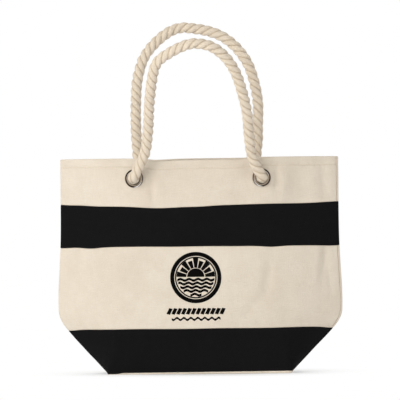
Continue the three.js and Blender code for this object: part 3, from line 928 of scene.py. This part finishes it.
bindings = {}
for end, hand in HANDS.items():
    rings, angle, z = binding_rings(hand)
    across = np.append(angle, 2 * np.pi) * 5.4
    uv = np.stack(np.broadcast_arrays(across, z), -1)
    bindings[end] = loft_piece(f"{end}_seam_tape", rings, uv)
print("tape length", round(float(np.ptp(z))), "mm")

# %% [markdown]
# ## Eyelets and washers
# Both are spun from sheet metal, so both are lathed: a closed outline turned round the
# eyelet's axis. The face half is a narrow dome with a barrel through the cloth, rolled over the
# washer behind.

# %% Metal
FLANGE_RADIUS = 15.5
HOLE_RADIUS = 9.9
BARREL_RADIUS = 10.5
DOME_HEIGHT = 2.5
BARREL_END = -2.85
ROLL_HALF_WIDTH = 1.25
ROLL_HEIGHT = 0.9
CLOTH_FACE = 0.12  # the flange sits this far out from the middle of the pressed cloth
WASHER_MIDDLE = (12.9, -2.13)
WASHER_HALF = (2.1, 0.42)


def eyelet_outline():
    """Half an ellipse for the dome, straight down the barrel, half an ellipse for the roll."""
    a = np.linspace(0, np.pi, 26)
    middle, half = (FLANGE_RADIUS + HOLE_RADIUS) / 2, (FLANGE_RADIUS - HOLE_RADIUS) / 2
    dome = np.stack([middle + half * np.cos(a), CLOTH_FACE + DOME_HEIGHT * np.sin(a) ** 0.8], -1)
    barrel = np.stack([np.full(6, HOLE_RADIUS), np.linspace(-0.2, BARREL_END, 6)], -1)
    roll_x = HOLE_RADIUS + ROLL_HALF_WIDTH * (1 - np.cos(a))
    roll = np.stack([roll_x, BARREL_END - ROLL_HEIGHT * np.sin(a)], -1)
    inner = [[BARREL_RADIUS, BARREL_END], [BARREL_RADIUS, -1.3], [BARREL_RADIUS, CLOTH_FACE],
             [FLANGE_RADIUS - 1.5, 0.1]]
    return np.vstack([dome, barrel, roll[1:], inner])


def washer_outline():
    """A flat ring with rounded corners."""
    a = np.linspace(-np.pi / 2, 1.5 * np.pi, 36, endpoint=False)
    c, q = np.cos(a), np.sin(a)
    r = WASHER_MIDDLE[0] + WASHER_HALF[0] * np.sign(c) * np.abs(c) ** 0.4
    return np.stack([r, WASHER_MIDDLE[1] + WASHER_HALF[1] * np.sign(q) * np.abs(q) ** 0.6], -1)


def lathed(name, outline, place, around=96):
    """The outline (r, h) turned round the eyelet's axis: centre + r spoke + h outward."""
    centre, outward = place
    level = np.cross([0, 0, 1], outward)
    phi = np.linspace(0, 2 * np.pi, around, endpoint=False)
    spokes = np.cos(phi)[:, None] * level + np.sin(phi)[:, None] * np.array([0, 0, 1])
    rings = centre + outline[:, None, :1] * spokes + outline[:, None, 1:] * outward
    run = np.append(0, np.cumsum(np.linalg.norm(np.diff(outline, axis=0), axis=1)))
    grid = np.broadcast_arrays(np.append(phi, 2 * np.pi) * 12, np.append(run, run[-1] + 1)[:, None])
    return ring_piece(name, rings, np.stack(grid, -1))


eyelets, washers = {}, {}
for (face, end), place in EYELETS.items():
    eyelets[face, end] = lathed(f"{face}_{end}_eyelet_ring", eyelet_outline(), place)
    washers[face, end] = lathed(f"{face}_{end}_eyelet_washer", washer_outline(), place)
print("eyelet", 2 * FLANGE_RADIUS, "mm across, hole", 2 * HOLE_RADIUS, "mm")

# %% [markdown]
# ## Stitches
# Sewing thread is worth real shape only as far as it catches light, so one stitch is a small
# capsule of two dozen faces, dipping into the cloth at both ends. All the stitches of a row
# are worked out together as one array.

# %% Stitches
STITCH_PITCH = 4.4
STITCH_LENGTH = 3.5
THREAD_RADIUS = 0.36
THREAD_LIFTS = (-0.48, 0.3 - HEM_CLOTH)  # of the hem's stitches, outside and inside
capsule_a = np.array([-0.5, -0.44, -0.25, 0.0, 0.25, 0.44, 0.5])
capsule_r = np.array([0.15, 0.6, 0.92, 1.0, 0.92, 0.6, 0.15])


def stitch_row(name, *rows):
    """rows are (line, outward) pairs. Each stitch is centre + L a t + (h - k (2a)^2) n + ring."""
    starts, ways, outs = [], [], []
    for line, outward in rows:
        length = np.append(0, np.cumsum(np.linalg.norm(np.diff(line, axis=0), axis=1)))
        at = np.arange(STITCH_PITCH, length[-1] - STITCH_PITCH / 2, STITCH_PITCH)
        pick = lambda grid: np.stack([np.interp(at, length, grid[:, k]) for k in range(3)], -1)
        starts.append(pick(line))
        ways.append(unit(pick(np.gradient(line, axis=0))))
        outs.append(unit(pick(outward)))
    centre, way, out = (np.concatenate(part)[:, None, None] for part in (starts, ways, outs))
    beside = np.cross(out, way)
    a, r = capsule_a[None, :, None, None], capsule_r[None, :, None, None] * THREAD_RADIUS
    phi = np.linspace(0, 2 * np.pi, 6, endpoint=False)[None, None, :, None]
    rise = out * (0.18 - 0.5 * (2 * a) ** 4)
    points = centre + way * STITCH_LENGTH * a + rise + r * (np.cos(phi) * out + np.sin(phi) * -beside)
    count, rings, ring = points.shape[:3]
    faces, flat = grid_faces(rings, ring, close_columns=True)
    first = np.arange(count)[:, None, None] * rings * ring
    quads = (faces[None] + first).reshape(-1, 4)
    caps = [end for n in range(count) for end in (
        np.arange(ring)[::-1] + n * rings * ring, np.arange(ring) + (n * rings + rings - 1) * ring)]
    along, about = np.meshgrid(capsule_a * STITCH_LENGTH, np.arange(ring + 1) * 0.4, indexing="ij")
    uv = np.stack([along, about], -1).reshape(-1, 2)
    return mesh_piece(name, points.reshape(-1, 3), quads, uv, np.tile(flat, (count, 1)), caps)


def hem_row(span, lift):
    """Stitches along the hem, on the face that lift reaches."""
    s = np.linspace(span[0] + 0.02, span[1] - 0.02, 600)
    z = rim_line(s) - HEM_DEPTH
    on, above = skin(s, z, lift), skin(s, z, lift + np.sign(lift))
    return on, above - on


def binding_row(hand, side):
    """Stitches near the tape's inner edge, on one side of it."""
    z = np.arange(TAPE_LOW + 2, TAPE_HIGH - 1.5, 3.0)
    x = hand * (half_width(z) - TAPE_INSET - 5.6)
    line = np.stack([x, side * 1.2 + tape_waver(z, hand), z], -1)
    return line, np.broadcast_to([0.0, side, 0.0], line.shape)


sewn = {
    f"{face}_hem_stitches": [hem_row(span, lift) for lift in THREAD_LIFTS]
    for face, span in SPANS.items()
}
sewn["binding_stitches"] = [binding_row(hand, side) for hand in (-1, 1) for side in (-1, 1)]
stitches = {name: stitch_row(name, *rows) for name, rows in sewn.items()}
print("stitches:", {name: len(o.data.vertices) // 42 for name, o in stitches.items()})

# %% [markdown]
# ## The print
# The bag carries a one-colour print on the middle of its front. This one is a plain seaside
# motif, a sun over waves in a ring, with a row of slanted blocks and a ripple under it. Each shape is a
# patch worked out on a grid and laid on the cloth's own surface, a fifth of a millimetre proud,
# so it follows every fold.

# %% Print
PRINT_X, PRINT_Z = -7.3, 157.4
INK_LIFT = 0.2
INK_BACK = 0.02
RAYS = 9
WAVES = 5
BLOCKS = 12


def polar(r, angle):
    """Polar places round the print's middle."""
    return PRINT_X + r * np.cos(angle), PRINT_Z + r * np.sin(angle)


def cells(u_count, v_count):
    """A grid of parameters u and v, each from 0 to 1."""
    return np.meshgrid(np.linspace(0, 1, u_count), np.linspace(0, 1, v_count), indexing="ij")


def print_patches():
    """(x, z) grids: rings r(u), a(v); the sun and its rays above the horizon; bands of water
    z = z0 + h sin(2 pi x / w) below it; and the two borders under the ring."""
    patches = []
    u, v = cells(3, 180)
    for inner, outer in ((35.4, 42.0), (32.0, 34.2)):
        patches.append(polar(outer + (inner - outer) * u, 2 * np.pi * v))
    u, v = cells(8, 70)
    x, z = polar(0.3 + 13.9 * (1 - u), np.pi * v)
    patches.append((x, z + 1.0))
    u, v = cells(10, 8)
    for k in range(RAYS):
        middle, half = np.pi * (k + 0.5) / RAYS, 0.142
        r = 15.6 + ((31.6 if k % 2 == 0 else 28.0) - 15.6) * (1 - u)
        x, z = polar(r, middle + half * (2 * v - 1))
        patches.append((x, z + 0.4))
    u, v = cells(90, 5)
    for k in range(WAVES):
        level = -3.6 - 6.1 * k
        half = np.sqrt(31.0**2 - (level - 1.6) ** 2)
        x = half * (2 * u - 1)
        crest = 1.3 * np.sin(2 * np.pi * x / 14.5 + 0.6 * k)
        patches.append((PRINT_X + x, PRINT_Z + level + crest + 4.2 * (v - 0.5)))
    u, v = cells(6, 6)
    for k in range(BLOCKS):
        x = 7.9 * (k - 5.5) + 5.7 * (u - 0.5) + 4.6 * (v - 0.5)
        z = 9.6 * (v - 0.5) - 1.4 * (u - 0.5)
        patches.append((PRINT_X + x, PRINT_Z - 55.2 + z))
    u, v = cells(120, 3)
    x = 80 * (u - 0.5)
    ripple = 1.7 * np.sin(2 * np.pi * x / 11.4)
    patches.append((PRINT_X + x, PRINT_Z - 67.6 + ripple + 3.6 * (v - 0.5)))
    return patches


def printed_piece(name, patches):
    """All the patches in one mesh. A patch whose grid runs the wrong way round is turned."""
    points, quads, uv, done = [], [], [], 0
    for x, z in patches:
        area = np.sum(x[:-1, :-1] * z[1:, :-1] - x[1:, :-1] * z[:-1, :-1]
                      + x[1:, :-1] * z[1:, 1:] - x[1:, 1:] * z[1:, :-1]
                      + x[1:, 1:] * z[:-1, 1:] - x[:-1, 1:] * z[1:, 1:]
                      + x[:-1, 1:] * z[:-1, :-1] - x[:-1, :-1] * z[:-1, 1:])
        if area > 0:
            x, z = x[::-1], z[::-1]
        s = 2 / np.pi * np.arcsin(x / half_width(z))
        points += [skin(s, z, lift).reshape(-1, 3) for lift in (INK_LIFT, INK_BACK)]
        uv += [np.stack([x, z], -1).reshape(-1, 2)] * 2
        faces, _ = grid_faces(*x.shape)
        quads.append(shell_faces(faces, x.size) + done)
        done += 2 * x.size
    quads = np.concatenate(quads)
    return mesh_piece(name, np.concatenate(points), quads, np.concatenate(uv), quads)


front_print = printed_piece("front_print", print_patches())
print("print", len(front_print.data.polygons), "faces")

# %% [markdown]
# ## Shared finishes
# Effects that several materials need are node groups with named inputs, built once: a plain
# weave, the soft unevenness of handled cotton, fine yarn along a rope, and hairline scratches
# in metal. A group only puts out masks, heights and colours; the shader stays in the material.

# %% Node group helpers
SOCKETS = {"value": "NodeSocketFloat", "colour": "NodeSocketColor", "vector": "NodeSocketVector"}


def effect_group(name, inputs, outputs):
    """An empty shader group with those sockets. Returns the tree and its input and output nodes."""
    tree = bpy.data.node_groups.new(name, "ShaderNodeTree")
    for label, kind, default in inputs:
        socket = tree.interface.new_socket(label, in_out="INPUT", socket_type=SOCKETS[kind])
        if default is not None:
            socket.default_value = default
    for label, kind in outputs:
        tree.interface.new_socket(label, in_out="OUTPUT", socket_type=SOCKETS[kind])
    return tree, tree.nodes.new("NodeGroupInput").outputs, tree.nodes.new("NodeGroupOutput").inputs


def calc(tree, operation, *values):
    """A Math node over sockets and numbers."""
    return add_node(tree, "ShaderNodeMath", dict(enumerate(values)), operation=operation).outputs[0]


def between(tree, factor, low, high):
    """low where factor is 0, high where it is 1."""
    return add_node(tree, "ShaderNodeMix", {0: factor, 2: low, 3: high}).outputs[0]


def noise(tree, vector, scale, detail=2.0, roughness=0.5):
    """Perlin noise from 0 to 1."""
    settings = {"Vector": vector, "Scale": scale, "Detail": detail, "Roughness": roughness}
    return add_node(tree, "ShaderNodeTexNoise", settings).outputs["Fac"]


def mapped(tree, value, low, high, to_low=0.0, to_high=1.0):
    """value carried from the range low to high onto another range, and clamped to it."""
    ends = {0: value, 1: low, 2: high, 3: to_low, 4: to_high}
    return add_node(tree, "ShaderNodeMapRange", ends).outputs[0]


def tinted(tree, factor, low, high):
    """Colour low where factor is 0, colour high where it is 1."""
    inputs = {0: factor, 6: low if not isinstance(low, tuple) else (*low, 1),
              7: high if not isinstance(high, tuple) else (*high, 1)}
    return add_node(tree, "ShaderNodeMix", inputs, data_type="RGBA").outputs[2]


print("a group passes on:", list(SOCKETS))

# %% Plain weave
def plain_weave():
    """In each cell of the weave the warp or the weft is on top, in turn, like a chessboard. The
    thread on top is |sin| across, and sinks a little at the ends of its float. Threads differ
    from each other, and thicken and thin along their length, by noise stretched along them."""
    tree, given, out = effect_group(
        "plain_weave",
        [("Cloth", "vector", None), ("Threads per metre", "value", 1100.0)],
        [("Height", "value"), ("Thread", "value"), ("Slub", "value")],
    )
    place = add_node(tree, "ShaderNodeVectorMath",
                     {0: given["Cloth"], "Scale": given["Threads per metre"]}, operation="SCALE")
    axis = add_node(tree, "ShaderNodeSeparateXYZ", {0: place.outputs[0]}).outputs
    u, v = axis["X"], axis["Y"]
    iu, iv = calc(tree, "FLOOR", u), calc(tree, "FLOOR", v)
    weft_on_top = calc(tree, "FLOORED_MODULO", calc(tree, "ADD", iu, iv), 2.0)
    across = [calc(tree, "ABSOLUTE", calc(tree, "SINE", calc(tree, "MULTIPLY", w, math.pi)))
              for w in (u, v)]
    float_end = [calc(tree, "MULTIPLY_ADD", w, 0.45, 0.55) for w in across]
    warp = calc(tree, "MULTIPLY", across[0], float_end[1])
    weft = calc(tree, "MULTIPLY", across[1], float_end[0])
    height = between(tree, weft_on_top, warp, weft)
    tones = []
    for own, long in ((iu, v), (iv, u)):
        spot = add_node(tree, "ShaderNodeCombineXYZ",
                        {0: calc(tree, "MULTIPLY", own, 7.31), 1: calc(tree, "MULTIPLY", long, 0.07)})
        tones.append(noise(tree, spot.outputs[0], 1.0, 2.0))
    thread = between(tree, weft_on_top, *tones)
    slub = calc(tree, "MAXIMUM", *tones)
    tree.links.new(calc(tree, "MULTIPLY_ADD", thread, 0.6, height), out["Height"])
    tree.links.new(thread, out["Thread"])
    tree.links.new(mapped(tree, slub, 0.56, 0.72), out["Slub"])
    return tree


weave_group = plain_weave()
print("weave:", len(weave_group.nodes), "nodes")

# %% Handled cotton
def handled_cotton():
    """Colour that drifts over a hand's breadth and again over a fingertip, with small flecks of husk, and
    darker close to the sewn edges and along the hem's stitching."""
    tree, given, out = effect_group(
        "handled_cotton",
        [("Colour", "colour", None), ("Soil", "colour", None), ("Place", "vector", None),
         ("Edge distance", "value", 10.0), ("Amount", "value", 1.0), ("Flecks", "value", 1.0)],
        [("Colour", "colour"), ("Roughness", "value"), ("Relief", "value")],
    )
    broad = noise(tree, given["Place"], 7.0, 3.0, 0.55)
    close = noise(tree, given["Place"], 42.0, 4.0, 0.6)
    drift = calc(tree, "MULTIPLY_ADD", close, 0.45, calc(tree, "MULTIPLY", broad, 0.55))
    drift = mapped(tree, drift, 0.34, 0.66)
    darker_share = calc(tree, "MULTIPLY", calc(tree, "MULTIPLY", drift, 0.30), given["Amount"])
    # darker close to the sewn edges and the hem's stitching, up to half way to the Soil colour
    in_seam = mapped(tree, given["Edge distance"], 2.6, 0.0, 0.0, 0.5)
    darker_share = calc(tree, "MAXIMUM", darker_share, calc(tree, "MULTIPLY", in_seam, given["Amount"]))
    fleck = add_node(tree, "ShaderNodeTexVoronoi", {"Vector": given["Place"], "Scale": 210.0})
    spot = mapped(tree, fleck.outputs["Distance"], 0.10, 0.04)
    rare = add_node(tree, "ShaderNodeSeparateColor", {0: fleck.outputs["Color"]}).outputs[0]
    rare = calc(tree, "GREATER_THAN", rare, 0.90)
    spots = calc(tree, "MULTIPLY", calc(tree, "MULTIPLY", spot, rare), given["Flecks"])
    tint = tinted(tree, darker_share, given["Colour"], given["Soil"])
    darker = tinted(tree, calc(tree, "MULTIPLY", spots, 0.6), tint, given["Soil"])
    tree.links.new(darker, out["Colour"])
    tree.links.new(calc(tree, "MULTIPLY_ADD", close, 0.16, 0.80), out["Roughness"])
    tree.links.new(close, out["Relief"])
    return tree


cotton_group = handled_cotton()
print("handled cotton:", len(cotton_group.nodes), "nodes")

# %% Rope yarn and metal scratches
def rope_yarn():
    """Yarns lie nearly along the rope on the crown of each strand: |sin| of a slanted distance
    round the rope, broken by noise drawn out along them, with loose fuzz over the top."""
    tree, given, out = effect_group(
        "rope_yarn", [("Cloth", "vector", None)], [("Height", "value"), ("Tone", "value")])
    axis = add_node(tree, "ShaderNodeSeparateXYZ", {0: given["Cloth"]}).outputs
    slanted = calc(tree, "MULTIPLY_ADD", axis["X"], 0.42, axis["Y"])
    lines = calc(tree, "ABSOLUTE", calc(tree, "SINE", calc(tree, "MULTIPLY", slanted, 2600.0)))
    drawn = add_node(tree, "ShaderNodeCombineXYZ",
                     {0: calc(tree, "MULTIPLY", axis["X"], 90.0),
                      1: calc(tree, "MULTIPLY", slanted, 1500.0)}).outputs[0]
    tone = noise(tree, drawn, 1.0, 3.0, 0.6)
    fuzz = noise(tree, given["Cloth"], 2400.0, 2.0, 0.7)
    height = calc(tree, "MULTIPLY_ADD", lines, 0.5, calc(tree, "MULTIPLY_ADD", fuzz, 0.5, tone))
    tree.links.new(height, out["Height"])
    tree.links.new(tone, out["Tone"])
    return tree


def hairline_scratches():
    """Spun metal: fine rings of polish along the turning direction, and a few random marks."""
    tree, given, out = effect_group(
        "hairline_scratches", [("Cloth", "vector", None), ("Base roughness", "value", 0.14)],
        [("Roughness", "value"), ("Height", "value"), ("Tarnish", "value")])
    axis = add_node(tree, "ShaderNodeSeparateXYZ", {0: given["Cloth"]}).outputs
    spun = add_node(tree, "ShaderNodeCombineXYZ",
                    {0: calc(tree, "MULTIPLY", axis["X"], 60.0),
                     1: calc(tree, "MULTIPLY", axis["Y"], 5200.0)}).outputs[0]
    rings = noise(tree, spun, 1.0, 3.0, 0.6)
    marks = noise(tree, given["Cloth"], 900.0, 4.0, 0.7)
    cloud = noise(tree, given["Cloth"], 160.0, 2.0)
    rough = calc(tree, "MULTIPLY_ADD", rings, 0.05, given["Base roughness"])
    tree.links.new(calc(tree, "MULTIPLY_ADD", marks, 0.06, rough), out["Roughness"])
    tree.links.new(rings, out["Height"])
    tree.links.new(mapped(tree, cloud, 0.45, 0.75), out["Tarnish"])
    return tree


yarn_group = rope_yarn()
scratch_group = hairline_scratches()
print("yarn:", len(yarn_group.nodes), "nodes, scratches:", len(scratch_group.nodes), "nodes")

# %% [markdown]
# ## Materials
# One material for each finish of the real bag. Cotton is rough and a little woolly, so it has sheen set
# straight on the shader. Its colour comes from the threads, painted shade in the weave's valleys, the drift
# and a darkening close to the seams, and its bump comes from the weave.

# %% Material helpers
def new_material(name, **constants):
    """A node material with its output and its shader, whose constants are set. Returns the
    material, its tree and its shader."""
    made = bpy.data.materials.new(name)
    made.use_nodes = True
    tree = made.node_tree
    tree.nodes.clear()
    constants = {key.replace("_", " "): value for key, value in constants.items()}
    shader = add_node(tree, "ShaderNodeBsdfPrincipled", constants)
    add_node(tree, "ShaderNodeOutputMaterial", {"Surface": shader.outputs[0]})
    return made, tree, shader


def cloth_map(tree):
    """Places in the piece's own UV map, which follows its cloth, rope or metal in metres."""
    return add_node(tree, "ShaderNodeUVMap", uv_map="cloth").outputs[0]


def use_group(tree, group, inputs):
    """The outputs of a new copy of the group, with its inputs set or linked."""
    return add_node(tree, "ShaderNodeGroup", inputs, node_tree=group).outputs


def own_value(tree, name):
    """A value kept on the mesh's points."""
    return add_node(tree, "ShaderNodeAttribute", attribute_name=name).outputs["Fac"]


def bumped(tree, shader, height, distance):
    """Height turned into the shader's normal."""
    made = add_node(tree, "ShaderNodeBump", {"Height": height, "Distance": distance, "Strength": 1.0})
    tree.links.new(made.outputs[0], shader.inputs["Normal"])


def worn_cotton(tree, shader, colour, soil, **amounts):
    """Colour and roughness of handled cotton, linked to the shader. Returns its relief."""
    place = add_node(tree, "ShaderNodeTexCoord").outputs["Object"]
    amounts = {key.replace("_", " "): value for key, value in amounts.items()}
    worn = use_group(tree, cotton_group, {"Colour": colour, "Soil": (*soil, 1), "Place": place, **amounts})
    tree.links.new(worn["Colour"], shader.inputs["Base Color"])
    tree.links.new(worn["Roughness"], shader.inputs["Roughness"])
    return worn["Relief"]


def canvas_material(name, dark_thread_and_valley_shade, crown, soil, threads, weave_depth, sheen, flecks, drift=1.0,
                    shine=0.12):
    """Woven cotton between a darker and a lighter colour, with painted shade: where the weave lies low it
    is coloured darker, and each thread adds its own tone.
    """
    made, tree, shader = new_material(
        name, Specular_IOR_Level=shine, Sheen_Weight=sheen, Sheen_Roughness=0.55)
    weave = use_group(tree, weave_group, {"Cloth": cloth_map(tree), "Threads per metre": threads})
    # painted shade: the weave's height darkens the colour in its valleys, mixed with each thread's own tone
    tone = calc(tree, "MULTIPLY_ADD", weave["Height"], 0.45, calc(tree, "MULTIPLY", weave["Thread"], 0.55))
    handled = worn_cotton(tree, shader, tinted(tree, tone, dark_thread_and_valley_shade, crown), soil,
                          Edge_distance=own_value(tree, "edge"), Amount=drift, Flecks=flecks)
    lumps = calc(tree, "MULTIPLY_ADD", handled, 1.4, weave["Height"])
    bumped(tree, shader, calc(tree, "MULTIPLY_ADD", weave["Slub"], 0.9, lumps), weave_depth)
    return made


print("groups to use:", [group.name for group in bpy.data.node_groups])

# %% Materials of the bag
natural_canvas = canvas_material(
    "natural_canvas", (0.62, 0.53, 0.415), (0.84, 0.765, 0.655), (0.56, 0.45, 0.33),
    threads=1150.0, weave_depth=0.00030, sheen=0.06, flecks=0.5)
black_canvas = canvas_material(
    "black_canvas", (0.0026, 0.0025, 0.0028), (0.0078, 0.0075, 0.0082), (0.012, 0.0115, 0.0115),
    threads=1150.0, weave_depth=0.00026, sheen=0.008, flecks=0.15, drift=0.6)
tape_canvas = canvas_material(
    "binding_tape", (0.52, 0.44, 0.33), (0.74, 0.66, 0.53), (0.46, 0.37, 0.26),
    threads=1900.0, weave_depth=0.00018, sheen=0.05, flecks=0.2)
print_ink = canvas_material(
    "print_ink", (0.0010, 0.0010, 0.0010), (0.0026, 0.0025, 0.0026), (0.006, 0.0055, 0.005),
    threads=1150.0, weave_depth=0.00012, sheen=0.0, flecks=0.35, drift=0.8, shine=0.03)


def rope_material(name, dark_yarn_and_groove_shade, crown, soil, depth):
    """Cotton rope, with painted shade: warmer and darker down in the grooves between its strands."""
    made, tree, shader = new_material(
        name, Specular_IOR_Level=0.15, Sheen_Weight=0.12, Sheen_Roughness=0.6)
    yarn = use_group(tree, yarn_group, {"Cloth": cloth_map(tree)})
    # painted shade in the grooves between the strands, strongest at their bottom
    shade = calc(tree, "POWER", own_value(tree, "groove"), 4.0)
    tone = calc(tree, "SUBTRACT", calc(tree, "MULTIPLY_ADD", yarn["Tone"], 0.7, 0.55), shade)
    worn_cotton(tree, shader, tinted(tree, tone, dark_yarn_and_groove_shade, crown), soil,
                Edge_distance=10.0, Amount=0.8, Flecks=0.2)
    bumped(tree, shader, yarn["Height"], depth)
    return made


cotton_rope = rope_material(
    "cotton_rope", (0.40, 0.295, 0.185), (0.775, 0.68, 0.555), (0.55, 0.44, 0.31), 0.00035)
cotton_thread = rope_material(
    "cotton_thread", (0.60, 0.50, 0.38), (0.80, 0.72, 0.60), (0.52, 0.42, 0.30), 0.00008)


def metal_material(name):
    """Bright nickel plate, clouded here and there where it has been handled."""
    made, tree, shader = new_material(name, Metallic=1.0)
    marks = use_group(tree, scratch_group, {"Cloth": cloth_map(tree), "Base roughness": 0.04})
    colour = tinted(tree, calc(tree, "MULTIPLY", marks["Tarnish"], 0.5),
                    (0.84, 0.80, 0.76), (0.62, 0.57, 0.52))
    tree.links.new(colour, shader.inputs["Base Color"])
    tree.links.new(marks["Roughness"], shader.inputs["Roughness"])
    bumped(tree, shader, marks["Height"], 0.00002)
    return made


nickel = metal_material("nickel")
print("materials:", [made.name for made in bpy.data.materials])

# %% [markdown]
# ## Putting it together
# Every piece but the rope handles rides on the bag's body, and the imported node that it stands for is
# hidden. The two rope handles cross a joint of the model; each is baked in place as one mesh, and its
# imported rope nodes are hidden.

# %% Canvas, base, tape and print
def finish_with(piece, material):
    """Gives a piece its material."""
    piece.data.materials.append(material)


def fit_to_bag(piece, material, node=None):
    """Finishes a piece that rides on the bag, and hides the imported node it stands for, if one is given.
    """
    finish_with(piece, material)
    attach(piece, "bag")
    if node:
        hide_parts(node)


for (face, part), piece in bands.items():
    if part.endswith("stripe"):
        fit_to_bag(piece, black_canvas, f"{face}_{part}")
    else:
        fit_to_bag(piece, natural_canvas, f"{face}_{part}")
fit_to_bag(base, natural_canvas, "base_panel")
for end, piece in bindings.items():
    fit_to_bag(piece, tape_canvas, f"{end}_seam_binding")
for piece in stitches.values():
    fit_to_bag(piece, cotton_thread)
fit_to_bag(front_print, print_ink)
print("canvas pieces:", len(bands) + 1, "with", len(bindings), "tapes and", len(stitches), "rows of thread")

# %% Metal, knots and whippings
for face, end in EYELETS:
    fit_to_bag(eyelets[face, end], nickel, f"{face}_{end}_eyelet")
    fit_to_bag(washers[face, end], nickel, f"{face}_{end}_washer")
    fit_to_bag(knots[face, end][0], cotton_rope, f"{face}_{end}_knot")
    fit_to_bag(whippings[face, end], cotton_thread, f"{face}_{end}_whipping")
print("pieces at the eyelets:", 4 * len(EYELETS))

# %% Rope handles
for face, (piece, line) in handles.items():
    finish_with(piece, cotton_rope)
    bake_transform(piece)
    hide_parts(f"{face}_handle_rope", f"{face}_left_rope_end", f"{face}_right_rope_end")

# %% [markdown]
# ## The pattern pieces
# A maker cuts each band as a strip: its width is the way round half the bag with two side seam allowances,
# and its length is its height with its joins and, at the rim, the folded hem. This cell only counts the
# pieces of canvas.

# %% Sheets
print("sheets of canvas:", len(bands) + 1)

# %% [markdown]
# ## The floor
# A wide pale floor. Beyond the bag's soft shadow it glows white, so that it melts into the
# background without a horizon.

# %% Floor
FLOOR_REACH = 30.0
floor_mesh = bpy.data.meshes.new("studio_floor")
corners = [(x * FLOOR_REACH, y * FLOOR_REACH, 0) for x, y in ((-1, -1), (1, -1), (1, 1), (-1, 1))]
floor_mesh.from_pydata(corners, [], [(0, 1, 2, 3)])
floor = bpy.data.objects.new("studio_floor", floor_mesh)
scene.collection.objects.link(floor)
floor_paint, tree, shader = new_material("studio_floor", Roughness=0.9)
on_floor = add_node(tree, "ShaderNodeTexCoord").outputs["Object"]
tree.links.new(tinted(tree, noise(tree, on_floor, 2.0), (0.93, 0.93, 0.93), (0.96, 0.96, 0.96)),
               shader.inputs["Base Color"])
distance = add_node(tree, "ShaderNodeVectorMath", {0: on_floor}, operation="LENGTH").outputs["Value"]
far = add_node(tree, "ShaderNodeMapRange", {0: distance, 1: 0.04, 2: 0.30},
               interpolation_type="SMOOTHSTEP").outputs[0]
glow = add_node(tree, "ShaderNodeEmission")
fade = add_node(tree, "ShaderNodeMixShader", {0: far, 1: shader.outputs[0], 2: glow.outputs[0]})
tree.links.new(fade.outputs[0], tree.nodes["Material Output"].inputs["Surface"])
floor_mesh.materials.append(floor_paint)
floor.visible_glossy = False
print("floor", 2 * FLOOR_REACH, "m square")
